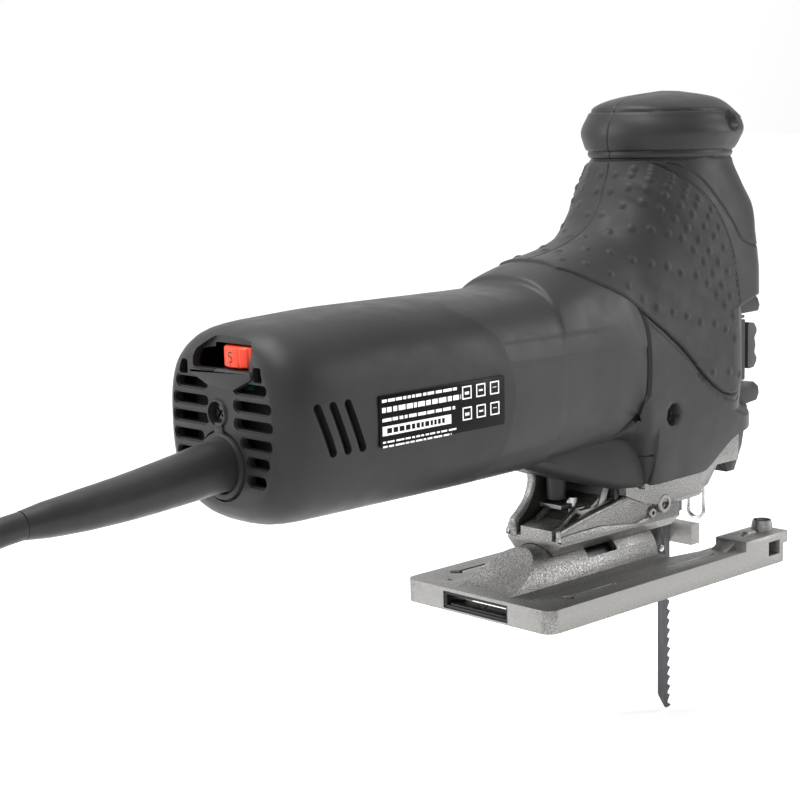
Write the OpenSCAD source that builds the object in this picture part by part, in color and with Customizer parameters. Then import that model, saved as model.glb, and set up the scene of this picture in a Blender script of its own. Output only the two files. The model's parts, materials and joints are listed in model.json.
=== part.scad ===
// Jigsaw power tool with a barrel housing and a knob-topped body.
// X points forward along the motor, Y to the left, Z up.
// The origin lies in the sole plane, on the blade's centre line.

/* [Overall] */
// Height of the top of the knob above the sole
knob_top = 199; // [198:0.5:201]
// Rear face of the motor housing, behind the blade
rear_len = 236; // [230:1:240]
// Height of the motor axis above the sole
motor_z = 91; // [90:0.5:92]

/* [Sole] */
// Length of the sole behind the blade
sole_rear = 117.2; // [116:0.2:120]
// Length of the sole ahead of the blade
sole_front = 35; // [34:0.5:36]
// Width of the sole
sole_w = 77; // [76:0.5:80]
// Height of the sole's side
sole_t = 9; // [8.5:0.1:9]

/* [Drive] */
// Teeth on the armature pinion
pinion_teeth = 8; // [8:1:8]
// Teeth on the drive gear
gear_teeth = 46; // [46:1:46]
// Tooth module
gear_module = 1; // [1:1:1]
// Full stroke of the blade
stroke = 26; // [24:1:26]
// Depth of the blade's tip below the sole
blade_depth = 66; // [50:1:66]

/* [Cord] */
// Diameter of the mains lead
cord_d = 9; // [8:0.5:9]
// Height of the surface that the lead lies on, relative to the sole
floor_z = -67; // [-67:1:-67]
// Length of the straight runs of the stored lead's hank
hank_run = 75; // [60:5:100]

/* [Hidden] */

eps = 0.01;
wall = 2.5;              // thickness of the moulded housings
gap = 0.3;               // clearance between parts that move past each other
run = 0.05;              // radial clearance of a running fit
pad_t = 1;               // thickness of a grip pad
cover_front = -136;      // front edge of the rear cover
seam_station = 5;        // station of the seam between motor housing and handle
gear_c = (pinion_teeth + gear_teeth) * gear_module / 2; // centre distance of the gears
gear_z = motor_z - gear_c;
crank_r = stroke / 2;
rest_drop = 7;           // the blade rests this far below mid-stroke
pin_z = gear_z - rest_drop;
pin_y = sqrt(crank_r * crank_r - rest_drop * rest_drop);
tilt_z = 9;              // height of the axis that the sole tilts about
rail_r = 13.5;           // outer radius of the sole's rail, about the tilt axis
rail_wall = 3;
tunnel_r = rail_r - rail_wall;
plate_r = tunnel_r - gap - run;      // outer radius of the clamping plate in the rail
plate_t = 3;
block_top = 13;          // top of the raised block at the front of each prong
bolt_x = -60;
slide_len = 10;          // travel of the sole
guide_top = 112;         // top of the plunger's guide
pivot_z = guide_top - 4.5;           // height of the guide's pivot
retainer_x = -12;
retainer_z = 27;
roller_r = 5.5;
roller_x = -3.5 - roller_r - gap;
roller_z = 8;

// Stations of the moulded body. Each is a plane that holds Y and runs from a rear or top
// point a to a front or bottom point b: [ax, az, bx, bz, half width, roundness, edge, pad].
// edge is where the section ends on its way from a to b, and pad where the grip pad ends.
STATIONS = [
    [-136, 126, -136, 56, 33.5, 2.7, 1, 0],
    [-104, 126.5, -105, 56.5, 33, 2.7, 1, 0],
    [-97, 130.5, -96, 57, 32.6, 2.6, 1, 0],
    [-86, 134, -80, 57, 32.3, 2.5, 1, 0.02],
    [-74, 136, -64, 57, 32, 2.5, 1, 0.13],
    [-63, 138.5, -51, 52, 31.8, 2.5, 1, 0.22],
    [-52, 143, -40, 22, 31.5, 2.6, 0.84, 0.26],
    [-46, 147.5, -22, 22, 31.3, 2.7, 0.84, 0.35],
    [-42.5, 152, -4, 24, 31, 2.8, 0.86, 0.45],
    [-40, 156, 22, 34, 30.7, 2.9, 0.83, 0.66],
    [-39, 158.5, 38, 46, 30.4, 3, 0.9, 0.7],
    [-38, 161, 53, 60, 30.2, 3, 1, 0.53],
    [-37, 163, 54, 80, 30, 3, 1, 0.485],
    [-36.3, 164.5, 52.5, 105, 29.5, 2.8, 1, 0.44],
    [-35.8, 166, 49, 128, 28.5, 2.6, 1, 0.34],
    [-35.3, 168, 43.5, 146, 27.5, 2.4, 1, 0.19],
    [-35, 170, 36, 159, 26.5, 2.2, 1, 0.1],
    [-35, 171.5, 30, 170.5, 26, 2.1, 1, 0],
    [-36.3, 177, 32, 177, 29, 2.1, 1, 0],
    [-36.5, 182, 33.5, 181.5, 31, 2.1, 1, 0],
    [-34.5, 187.5, 34, 184.5, 29.5, 2.1, 1, 0],
    [-30, 193, 33, 187, 27, 2.1, 1, 0],
    [-19, knob_top - 2.3, 24, 194.5, 19, 2, 1, 0],
    [0, knob_top, 7, knob_top - 0.4, 4, 2, 1, 0]
];

// Route of the mains lead from its guard down to the stored hank
CORD_ROUTE = [
    [-314, 0, 71], [-322, 0, 70], [-332, -0.5, 68], [-344, -2, 63.5], [-355, -4, 56.5], [-365, -7, 47.5],
    [-374, -11, 37], [-383, -15.5, 25], [-392, -20, 12.5], [-402, -25, 0], [-413, -29.5, -12.5],
    [-425, -33, -23], [-438, -35.2, -31], [-450, -36, -35]
];
TAIL_ROUTE = [[-500, -36, -62.5], [-515, -35.7, -62.5], [-530, -33.5, -61.8], [-545, -29.5, -60.2], [-562, -25, -58.5]];
GUARD_ROUTE = [[-230, 0, 78.2], [-240, 0, 77.7], [-255, 0, 75.7], [-275, 0, 73.4], [-295, 0, 71.9], [-314, 0, 71]];
GUARD_D = [17.5, 17.5, 16.6, 15, 13, 10.4];
hank_x = -467.5;         // middle of the hank of stored lead
hank_lanes = [27, 36];   // radius of the folds of its inner and outer lane
hank_layers = 4;
plug_rear = -560;        // end of the plug that the lead enters
plug_len = 67;
plug_y = -24;
plug_z = -58.4;
pin_len = 19;

plastic = [0.16, 0.16, 0.165];
rubber = [0.09, 0.09, 0.09];
metal = [0.72, 0.72, 0.7];
steel = [0.55, 0.55, 0.57];
dark_steel = [0.2, 0.2, 0.21];
copper = [0.72, 0.42, 0.2];

// ---- lofted shapes -------------------------------------------------------

function flat(rings) = [for (r = rings) for (p = r) p];

// Solid through rings of points; closed = true joins the last ring to the first
module loft(rings, closed = false) {
    n = len(rings[0]);
    m = len(rings);
    last = closed ? m - 1 : m - 2;
    sides = [
        for (i = [0:last]) for (j = [0:n - 1]) let (
            a = i * n + j, b = i * n + (j + 1) % n,
            c = ((i + 1) % m) * n + (j + 1) % n, d = ((i + 1) % m) * n + j
        ) each [[a, b, c], [a, c, d]]
    ];
    caps = closed ? [] : [[for (j = [n - 1:-1:0]) j], [for (j = [0:n - 1]) (m - 1) * n + j]];
    polyhedron(flat(rings), concat(sides, caps), convexity = 8);
}

// Station k, interpolated smoothly between its neighbours for a fractional k
function station(k) = let (
    i = min(max(floor(k), 0), len(STATIONS) - 2), t = k - i,
    p0 = STATIONS[max(i - 1, 0)], p1 = STATIONS[i],
    p2 = STATIONS[i + 1], p3 = STATIONS[min(i + 2, len(STATIONS) - 1)]
) 0.5 * (2 * p1 + (p2 - p0) * t + (2 * p0 - 5 * p1 + 4 * p2 - p3) * t * t
    + (3 * p1 - p0 - 3 * p2 + p3) * t * t * t);

function spow(v, e) = sign(v) * pow(abs(v), e);

// Point at angle q round station s, moved inward by t
function body_point(s, q, t) = let (
    a = [s[0], s[1]], b = [s[2], s[3]], mid = (a + b) / 2, half = norm(b - a) / 2,
    dir = (b - a) / (2 * half), e = 2 / s[5], along = -(half - t) * spow(cos(q), e),
    side = (s[4] - t) * spow(sin(q), e), c = mid + dir * along
) [c[0], side, c[1]];

// Angle at which a station's section reaches the fraction f of its way from a to b
function angle_at(s, f) = f >= 1 ? 180 : f <= 0 ? 0 : acos(-spow(2 * f - 1, s[5] / 2));

// Thin C-shaped ring on the left side, from angle 0 to q_end, between depths t0 and t1
function shell_ring(s, q_end, t0, t1, n) = concat(
    [for (j = [0:n]) body_point(s, q_end * j / n, t0)],
    [for (j = [n:-1:0]) body_point(s, q_end * j / n, t1)]
);

function full_ring(s, t, n) = [for (j = [0:n - 1]) body_point(s, 360 * j / n, t)];

// Half of the handle on the left side; its seam edges stay seam_gap off the middle plane
module half_handle() {
    n = 16;
    seam_gap = 0.02;
    rings = [
        for (k = [seam_station + 0.02:0.45:len(STATIONS) - 1.2]) let (s = station(k))
            shell_ring(s, angle_at(s, min(s[6], 1)), 0, wall, n)
    ];
    translate([0, seam_gap, 0]) loft(rings);
}

module half_pad() {
    n = 16;
    clear = 0.3;    // room for the handle's facets
    rings = [
        for (k = [3.1:0.45:16.3]) let (s = station(k))
            shell_ring(s, max(angle_at(s, s[7]), 4), -clear, -pad_t, n)
    ];
    translate([0, 0.05, 0]) loft(rings);
}

// Tube swept along a route with a diameter at each point
module swept(route, diameters, sides) {
    m = len(route) - 1;
    rings = [
        for (i = [0:m]) let (
            d = route[min(i + 1, m)] - route[max(i - 1, 0)], f = d / norm(d),
            u0 = cross(f, [0, 1, 0]), u = norm(u0) > 0.1 ? u0 / norm(u0) : [1, 0, 0], v = cross(f, u)
        ) [for (j = [0:sides - 1]) route[i] + diameters[i] / 2 * (u * cos(360 * j / sides) + v * sin(360 * j / sides))]
    ];
    loft(rings);
}

// ---- plain building blocks ------------------------------------------------

module block(lo, hi) { translate(lo) cube([hi[0] - lo[0], hi[1] - lo[1], hi[2] - lo[2]]); }

module rod_x(x0, x1, r, y = 0, z = 0) { translate([x0, y, z]) rotate([0, 90, 0]) cylinder(h = x1 - x0, r = r, $fn = 48); }

module rod_y(y0, y1, r, x = 0, z = 0) { translate([x, y0, z]) rotate([-90, 0, 0]) cylinder(h = y1 - y0, r = r, $fn = 48); }

module rod_z(z0, z1, r, x = 0, y = 0) { translate([x, y, z0]) cylinder(h = z1 - z0, r = r, $fn = 48); }

// Plate drawn in the side view, x across and z up
module side_plate(y0, y1, points) {
    translate([0, y1, 0]) rotate([90, 0, 0]) linear_extrude(height = y1 - y0) polygon(points);
}

// Plate drawn in the view along X, y across and z up
module cross_plate(x0, x1, points) {
    translate([x0, 0, 0]) rotate([90, 0, 90]) linear_extrude(height = x1 - x0) polygon(points);
}

module rounded_square(x0, x1, y0, y1, r) {
    translate([x0 + r, y0]) square([x1 - x0 - 2 * r, y1 - y0]);
    translate([x0, y0 + r]) square([x1 - x0, y1 - y0 - 2 * r]);
    for (x = [x0 + r, x1 - r], y = [y0 + r, y1 - r]) translate([x, y]) circle(r = r, $fn = 32);
}

// Spur gear outline with straight-sided teeth: each tooth is wide at its root and narrow at its tip
module gear_outline(teeth, m, backlash) {
    pitch = 360 / teeth;
    r = teeth * m / 2;
    half = pitch / 4 - backlash / r * 90 / PI;
    flank = [[-1.2, -1.35], [0, -1], [0.7, -0.5], [0.7, 0.5], [0, 1], [-1.2, 1.35]];
    polygon([
        for (i = [0:teeth - 1]) for (q = flank)
            (r + q[0] * m) * [cos(i * pitch + q[1] * half), sin(i * pitch + q[1] * half)]
    ]);
}

// ---- housings ---------------------------------------------------------------

module motor_housing() color(plastic) {
    stations = [for (k = [0:0.5:seam_station]) station(k)];
    m = len(stations);
    loft(concat(
        [for (s = stations) full_ring(s, 0, 40)],
        [for (i = [m - 1:-1:0]) full_ring(stations[i], wall, 40)]
    ), closed = true);
}

// Vents in the rear face: [height, inner end, outer end] from the middle plane
VENTS = [[104.5, 7, 23.5], [98.6, 7, 25.5], [92.6, 7, 26], [86.4, 10, 25.5], [80.3, 13, 24], [74.2, 13, 22]];
DIAL_WINDOW = [-15, 6, 110, 118.5];
cord_z = 78;

module cover_ring_solid() {
    n = 40;
    half_w = 34.2;
    half_h = 35;
    // [x, inset] from the rear face forward along the outside
    outer = [[0, 8], [1.2, 5], [3.5, 2.4], [7.5, 0.8], [14, 0], [rear_len + cover_front, 0]];
    inner = [[rear_len + cover_front, wall], [14, wall], [8, wall + 1.2], [wall, wall + 6]];
    function ring(p) = [
        for (j = [0:n - 1]) let (q = -360 * (j + 0.5) / n) [
            p[0] - rear_len, (half_w - p[1]) * spow(sin(q), 2 / 2.7),
            motor_z - (half_h - p[1]) * spow(cos(q), 2 / 2.7)
        ]
    ];
    loft([for (p = concat(outer, inner)) ring(p)]);
}

module rear_cover() color(plastic) difference() {
    cover_ring_solid();
    for (v = VENTS, side = [-1, 1]) {
        lo = side > 0 ? v[1] : -v[2];
        block([-rear_len - 1, lo, v[0] - 1.8], [-rear_len + 6, lo + v[2] - v[1], v[0] + 1.8]);
    }
    block([-rear_len - 1, DIAL_WINDOW[0], DIAL_WINDOW[2]], [-rear_len + 6, DIAL_WINDOW[1], DIAL_WINDOW[3]]);
    rod_x(-rear_len - 1, -rear_len + 6, 8.9, 0, cord_z);
    rod_x(-rear_len - 1, -rear_len + 1.5, screw_r + 0.3, REAR_SCREW[0], REAR_SCREW[1]);
    rod_x(-rear_len - 1, -rear_len + 8, screw_r / 2 + run, REAR_SCREW[0], REAR_SCREW[1]);
    for (i = [0:2], side = [-1, 1]) translate([-220 + 6.5 * i, side * 33, motor_z]) rotate([0, -15, 0])
        cube([3.2, 8, 19], center = true);
}

module switch_cut() { block([40, -9.2, 65], [60, 9.2, 111]); }

// Screw wells in the right side, [x, z], and the screw in the rear face, [y, z]
WELLS = [[-35, 71], [20, 180]];
REAR_SCREW = [2, 95];
screw_r = 3.2;

module handle_right() color(plastic) difference() {
    mirror([0, 1, 0]) half_handle();
    switch_cut();
    for (w = WELLS) rod_y(-40, -16, screw_r + 0.2, w[0], w[1]);
}

module handle_left() color(plastic) difference() {
    half_handle();
    switch_cut();
}

module grip_pad_right() color(rubber) mirror([0, 1, 0]) half_pad();

module grip_pad_left() color(rubber) half_pad();

// Moulded duct under the barrel that lets the fan's air out
module fan_cover() color(plastic) {
    difference() {
        cross_plate(-97, -61, [[-17, 55.5], [-19, 51], [-17, 46], [-12, 43.5], [12, 43.5], [17, 46], [19, 51], [17, 55.5]]);
        for (x = [-92:9:-66]) block([x, -12, 42], [x + 4, 12, 53]);
    }
    // screw pillar over the casting's channel
    rod_z(38, 46.5, 3.6, -66, 3);
}

module housing_screws() color(steel) {
    head_t = 2.5;
    rod_y(-26.3 - head_t, -26.3, screw_r, WELLS[0][0], WELLS[0][1]);
    rod_y(-24 - head_t, -24, screw_r, WELLS[1][0], WELLS[1][1]);
    rod_y(-24, -0.1, screw_r / 2, WELLS[1][0], WELLS[1][1]);
    rod_x(-rear_len + 0.3, -rear_len + 1.5, screw_r, REAR_SCREW[0], REAR_SCREW[1]);
    rod_x(-rear_len + 1.5, -rear_len + 7, screw_r / 2, REAR_SCREW[0], REAR_SCREW[1]);
}

module rating_plate() color("black") block([-198, -34.6, 80.5], [-134.5, -34.25, 100.5]);

// ---- switch and speed control -------------------------------------------------

module switch_bezel() color([0.3, 0.3, 0.31]) difference() {
    side_plate(-9, 9, [[45, 66], [52, 66], [55, 69], [55, 72], [51.5, 74], [51.5, 103], [55, 105], [55, 108], [52, 110.5], [45, 110.5]]);
    block([44, -6.3, 70], [56, 6.3, 107]);
}

module switch_slider() color(rubber) side_plate(-6, 6, [
    [48.5, 78], [52, 78], [54, 80.5], [52, 84.5], [51.5, 88], [52, 91.5], [54, 95.5], [52, 98], [48.5, 98]
]);

module switch_unit() color([0.12, 0.12, 0.13]) {
    block([30, -9, 74], [44.5, 9, 100]);
    block([44.5, -4, 80], [48.2, 4, 96]);
}

DIAL = [-226.7, -5.5];    // centre of the speed dial
dial_r = 9;
post_r = 2.5;

module speed_dial() color([0.85, 0.2, 0.1]) difference() {
    rod_z(110.6, 117.8, dial_r, DIAL[0], DIAL[1]);
    for (i = [0:15]) translate([DIAL[0], DIAL[1], 109]) rotate([0, 0, i * 22.5]) translate([dial_r + 0.2, 0, 0])
        cylinder(h = 10, r = 0.7, $fn = 16);
    rod_z(109, 119, post_r + run, DIAL[0], DIAL[1]);
}

module speed_controller() color([0.1, 0.25, 0.15]) {
    rod_z(104.5, 118.3, post_r, DIAL[0], DIAL[1]);
    block([-230, -9, 103], [-212, 9, 104.5]);
    block([-224, -7, 98], [-214, 7, 103]);
}

// ---- mains lead ------------------------------------------------------------------

module cord_guard() color(rubber) difference() {
    swept(GUARD_ROUTE, GUARD_D, 24);
    rod_x(-240, -228, 2, 0, cord_z);
}

module cord_clamp() color(plastic) difference() {
    block([-227, -12, 72], [-221, 12, 84.5]);
    rod_x(-228, -220, cord_d / 2, 0, cord_z);
}

module power_cord() color(rubber) swept(CORD_ROUTE, [for (p = CORD_ROUTE) cord_d], 10);

module cord_tail() color(rubber) swept(TAIL_ROUTE, [for (p = TAIL_ROUTE) cord_d], 10);

// Outline of a loop with straight runs of hank_run joined by folds of radius r
module hank_outline(r) hull() for (side = [-1, 1])
    translate([hank_x + side * hank_run / 2, 0]) circle(r = r, $fn = 64);

module cord_hank() color(rubber) translate([0, 0, floor_z]) linear_extrude(height = hank_layers * cord_d) difference() {
    hank_outline(hank_lanes[1] + cord_d / 2);
    hank_outline(hank_lanes[0] - cord_d / 2);
}

module cord_tie() color([0.15, 0.15, 0.15]) difference() {
    half_y = hank_lanes[1] + cord_d / 2;
    top = floor_z + hank_layers * cord_d;
    block([hank_x - 4, -half_y - 1.3, floor_z], [hank_x + 4, half_y + 1.3, top + 1.5]);
    block([hank_x - 5, -half_y, floor_z + 0.5], [hank_x + 5, half_y, top + 0.3]);
}

module plug_body() color(rubber) {
    // [distance from the lead's end, half width, half height]
    profile = [[0, 5, 5], [18, 7, 6.5], [22, 9, 8], [27, 14, 8.5], [36, 17, 8.5], [50, 17.5, 8.5], [plug_len, 17.5, 8.5]];
    loft([
        for (p = profile) [
            for (j = [0:23]) let (q = -15 * j)
                [plug_rear - p[0], plug_y + p[1] * spow(sin(q), 0.8), plug_z - p[2] * spow(cos(q), 0.8)]
        ]
    ]);
}

module plug_pins() color(steel) for (side = [-1, 1])
    rod_x(plug_rear - plug_len - pin_len, plug_rear - plug_len, 2.4, plug_y + side * 9.5, plug_z);

// ---- motor ------------------------------------------------------------------------

module stator_core() color(steel) difference() {
    intersection() {
        rod_x(-152, -102, 29.5, 0, motor_z);
        block([-153, -27, 60], [-101, 27, 122]);
    }
    rod_x(-153, -101, 21, 0, motor_z);
}

module field_coils() color(copper) for (x = [-161, -102]) difference() {
    rod_x(x + 0.1, x + 8.9, 28, 0, motor_z);
    rod_x(x - 1, x + 10, 21.5, 0, motor_z);
}

module armature_shaft() color(steel) {
    rod_x(-206, -186, 4, 0, motor_z);
    rod_x(-186, -36.5, 6, 0, motor_z);
    translate([-36.5, 0, motor_z]) rotate([90, 0, 90]) linear_extrude(height = 23.5) gear_outline(pinion_teeth, gear_module, 0.3);
}

module armature_core() color(dark_steel) difference() {
    rod_x(-152, -102, 20.3, 0, motor_z);
    rod_x(-153, -101, 6.01, 0, motor_z);
}

module armature_windings() color(copper) for (x = [-164, -101.5]) difference() {
    rod_x(x, x + 11.5, 18, 0, motor_z);
    rod_x(x - 1, x + 13, 6.01, 0, motor_z);
}

module commutator() color(copper) difference() {
    rod_x(-185, -168, 13, 0, motor_z);
    rod_x(-186, -167, 6.01, 0, motor_z);
    for (i = [0:23]) translate([-185.5, 0, motor_z]) rotate([i * 15, 0, 0]) translate([0, -0.25, 12]) cube([16, 0.5, 2]);
}

module fan() color([0.8, 0.78, 0.7]) {
    difference() {
        union() {
            rod_x(-68, -66, 27, 0, motor_z);
            rod_x(-76, -62, 9, 0, motor_z);
        }
        rod_x(-77, -61, 6.01, 0, motor_z);
    }
    for (i = [0:11]) translate([-78, 0, motor_z]) rotate([i * 30, 0, 0]) translate([0, -0.8, 8.5]) cube([11, 1.6, 18]);
}

module ring_bearing(x0, x1, r_in, r_out) {
    difference() {
        rod_x(x0, x1, r_out, 0, motor_z);
        rod_x(x0 - 1, x1 + 1, r_in + run, 0, motor_z);
    }
}

module rear_bearing() color(steel) ring_bearing(-206, -199, 4, 11);

module front_bearing() color(steel) ring_bearing(-47, -38, 6, 15);

module brush_holders() color([0.35, 0.2, 0.1]) {
    difference() {
        rod_x(-208, -197, 14.5, 0, motor_z);
        rod_x(-206.05, -196, 11.01, 0, motor_z);
        rod_x(-209, -205, 5, 0, motor_z);
    }
    for (side = [-1, 1]) {
        difference() {
            block([-182, side > 0 ? 16 : -28, 85], [-171, side > 0 ? 28 : -16, 97]);
            block([-180.1, -29, 86.9], [-172.9, 29, 95.1]);
        }
        block([-198, side > 0 ? 17 : -20, 87], [-182, side > 0 ? 20 : -17, 95]);
        block([-199, side > 0 ? 13.6 : -20, 87], [-197, side > 0 ? 20 : -13.6, 95]);
    }
}

module carbon_brushes() color([0.1, 0.1, 0.1]) for (side = [-1, 1])
    block([-180, side > 0 ? 13.1 : -27, 87], [-173, side > 0 ? 27 : -13.1, 95]);

// ---- gear train ----------------------------------------------------------------------

case_w = 23.5;           // half width of the gear case
nose_w = 16.5;           // half width of the casting round the blade clamp
front_w = 13.5;          // and ahead of it
orbit_z = 37.3;          // height of the orbit lever's axis
saddle_rear = -83;       // rear end of the saddle that rides on the sole's rail
saddle_w = 14;           // half width of the saddle
channel_w = 11.5;        // half width of the open channel in its top
duct_low = 43;           // top of the webs, just under the fan cover

// Keeps the casting clear of the sole at its full tilt: nothing below the flanks at 45 degrees.
// lift is how far the sole's own blocks stand above the tilt axis there.
module tilt_envelope(x0, x1, lift) {
    low = tilt_z + gap + lift * sqrt(2);
    cross_plate(x0, x1, [[-9, low + 9], [9, low + 9], [27, low + 27], [27, 118], [-27, 118], [-27, low + 27]]);
}

module casting_solid() {
    // case round the gears and the plunger
    block([-46, -case_w, 64], [27, case_w, 117]);
    block([-44, -20.6, 43], [24, 20.6, 65]);
    rod_x(-40, -10, 26.5, 0, gear_z);
    // saddle that rides on the sole's rail
    intersection() {
        tilt_envelope(saddle_rear, -8, 0);
        side_plate(-saddle_w, saddle_w, [
            [saddle_rear, 18], [saddle_rear, 29], [-65, 32.6], [-38, 37.3], [-8, 45], [-8, 18]
        ]);
    }
    // nose round the blade clamp
    intersection() {
        tilt_envelope(-46, 4, block_top - tilt_z);
        side_plate(-nose_w, nose_w, [[-46, 50], [-46, 38], [-34, 33], [-16, 29], [4, 30], [4, 50]]);
    }
    intersection() {
        tilt_envelope(4, 34, block_top - tilt_z);
        side_plate(-front_w, front_w, [
            [4, 50], [4, 31], [12, 33], [22, 44], [27, 54.2], [34, 54.2], [34, 56.5], [27, 58], [4, 58]
        ]);
    }
    // ears that carry the roller retainer
    for (side = [-1, 1]) rod_y(side > 0 ? 6 : -9.5, side > 0 ? 9.5 : -6, 4.5, retainer_x, retainer_z);
    // ramp in the channel, its two ribs and the ledges at their heads
    side_plate(-channel_w, channel_w, [[saddle_rear, 24], [saddle_rear, 25.6], [-67, 33.6], [-46, 37], [-46, 24]]);
    for (y = [-9, 4]) side_plate(y, y + 2, [[saddle_rear, 25], [saddle_rear, 27.2], [-67.5, 35.6], [-62, 35.6], [-62, 25]]);
    block([-69, -2, 34.2], [-62, channel_w, 35.8]);
    block([-68, -channel_w, 33.4], [-60, -5, 35]);
    // far wall, with its hollow rear edge, up to the fan cover
    side_plate(channel_w - 2, channel_w + 0.5, [
        [saddle_rear, 24], [saddle_rear, 31], [-79, 33.4], [-75, 37.6], [-73, duct_low], [-46, duct_low], [-46, 24]
    ]);
    // curved web behind the gear case
    side_plate(-channel_w, channel_w, [[-58, 34], [-53, 36], [-50, duct_low], [-54, duct_low]]);
    side_plate(-channel_w, channel_w, [[-50, 34], [-43, 34], [-43, 46], [-46, 46]]);
}

module gear_housing() color(metal) difference() {
    casting_solid();
    // the rail's bore
    rod_x(saddle_rear - 1, 0, rail_r + gap, 0, tilt_z);
    // room for the gears, the yoke and the blade clamp
    block([-36, -20.5, 60], [24, 20.5, 114]);
    block([-15, -18.8, 41], [14, 18.8, 61]);
    rod_x(-36, -14.9, 24.3, 0, gear_z);
    block([-9.2, -10, 28], [12, 10, 42]);
    block([-19.5, -5.9, 18], [-6, 5.9, 38]);
    rod_z(113, 118, 5);
    // seats of the bearings, pins and screws
    rod_x(-47.1, -38, 15.02, 0, motor_z);
    rod_x(-39, -35, 8, 0, motor_z);
    rod_x(-42, -35, 5.01, 0, gear_z);
    for (side = [-1, 1]) rod_y(side > 0 ? 5 : -10, side > 0 ? 10 : -5, 2.01, retainer_x, retainer_z);
    for (side = [-1, 1]) rod_y(side > 0 ? 19 : -22.01, side > 0 ? 22.01 : -19, 2.01, 0, pivot_z);
    rod_z(18, 40, 3.02, bolt_x, 0);
    rod_z(54, 60, 1.51, 31, 6.5);
    rod_y(14, nose_w + 1, 2.51, -30, orbit_z);
    rod_z(34, 42, 1.61, 17, 0);
    for (y = [-4, 4]) rod_z(40, 47, 0.91, 22, y);
    // channel beside the ramp, and the hollow under it
    for (side = [-1, 1]) side_plate(side > 0 ? 7 : -channel_w, side > 0 ? channel_w - 2 : -9.4, [
        [saddle_rear - 1, 24.6], [-77, 27.5], [-70, 31.5], [-70, 40], [saddle_rear - 1, 40]
    ]);
}

module drive_gear() color(steel) difference() {
    translate([-24, 0, gear_z]) rotate([90, 0, 90]) linear_extrude(height = 8) gear_outline(gear_teeth, gear_module, 0.3);
    rod_x(-25, -15, 5 + run, 0, gear_z);
    for (q = [120:60:300]) translate([-25, 0, gear_z]) rotate([q, 0, 0]) rod_x(0, 10, 4, 0, -14);
    rod_x(-25, -15, 2.99, pin_y, pin_z);
}

module gear_pin() color(steel) rod_x(-41.9, -15, 5, 0, gear_z);

module crank_pin() color(steel) {
    rod_x(-24, -16, 2.98, pin_y, pin_z);
    rod_x(-16, -12.1, 3.5, pin_y, pin_z);
}

module plunger_guide() color(dark_steel) difference() {
    union() {
        block([-7.2, -16, 103], [9.5, 16, 112]);
        block([-7.2, -9, 54], [9.5, 9, 62]);
        block([7, -9, 54], [9.5, 9, 112]);
    }
    rod_z(50, 113, 6.01);
    for (side = [-1, 1]) rod_y(side > 0 ? 9 : -17, side > 0 ? 17 : -9, 2 + run, 0, pivot_z);
}

module guide_bushes() color([0.7, 0.55, 0.3]) for (z = [[54, 62], [103, 112]]) difference() {
    rod_z(z[0], z[1], 6);
    rod_z(z[0] - 1, z[1] + 1, 4 + run);
}

module guide_pivot() color(steel) for (side = [-1, 1])
    rod_y(side > 0 ? 12 : -22, side > 0 ? 22 : -12, 2, 0, pivot_z);

module plunger() color(steel) {
    rod_z(33, 128, 4);
    difference() {
        union() {
            block([-11.6, -18.3, pin_z - 8], [-7.8, 18.3, pin_z + 8]);
            block([-11.6, -4, pin_z + 7], [-7.8, 4, 80]);
        }
        block([-12, -16.8, pin_z - 3.6], [-7, 16.8, pin_z + 3.6]);
    }
    block([-8, -2.6, 69], [-2.5, 2.6, 80]);
}

// ---- blade, clamp and roller ------------------------------------------------------------

module blade_clamp() color(dark_steel) difference() {
    rod_z(21.5, 33, 5.4);
    block([-4.6, -0.66, 21], [4, 0.66, 32]);
}

module clamp_sleeve() color([0.3, 0.3, 0.31]) difference() {
    union() {
        rod_z(22.5, 32.5, 7.3);
        block([3, -2, 24], [9, 2, 31]);
    }
    rod_z(22, 33, 5.4 + run);
}

module saw_blade() color([0.35, 0.35, 0.36]) {
    pitch = 4;
    depth = 1.6;
    front = 3;
    teeth = floor((blade_depth - 8) / pitch);
    side_plate(-0.6, 0.6, concat(
        [[-3.5, 31], [-3.5, -blade_depth + 7]],
        [[1, -blade_depth], [front, -blade_depth + 2]],
        [for (i = [0:teeth - 1], k = [0, 1]) let (z = -blade_depth + 2.2 + i * pitch) k == 0 ? [front, z] : [front - depth, z + pitch * 0.35]],
        [[front, 0], [front, 31]]
    ));
}

module roller_retainer() color(dark_steel) difference() {
    union() {
        for (side = [-1, 1]) side_plate(side > 0 ? 4.3 : -5.6, side > 0 ? 5.6 : -4.3, [
            [-16, 30.5], [-9, 30.5], [-8.8, 16], [-6.2, 11], [-6.2, 3.6], [-13, 3.2], [-16.6, 9], [-16.6, 22]
        ]);
        side_plate(-4.4, 4.4, [[-16.5, 22], [-12, 22.2], [-12, 30.5], [-16, 30.5]]);
    }
    rod_y(-7, 7, 2 + run, retainer_x, retainer_z);
    rod_y(-7, 7, 1.51, roller_x, roller_z);
}

module retainer_pin() color(steel) rod_y(-9.5, 9.5, 2, retainer_x, retainer_z);

module guide_roller() color([0.15, 0.15, 0.15]) difference() {
    rod_y(-4, 4, roller_r, roller_x, roller_z);
    rod_y(-5, 5, 1.5 + run, roller_x, roller_z);
    for (i = [0:8]) translate([roller_x, 0, roller_z]) rotate([0, i * 40, 0]) rod_y(2.9, 5, 0.7, 3.8, 0);
    difference() {
        rod_y(-0.6, 0.6, roller_r + 1, roller_x, roller_z);
        rod_y(-1, 1, roller_r - 0.8, roller_x, roller_z);
    }
}

module roller_pin() color(steel) rod_y(-5.9, 5.9, 1.5, roller_x, roller_z);

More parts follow.
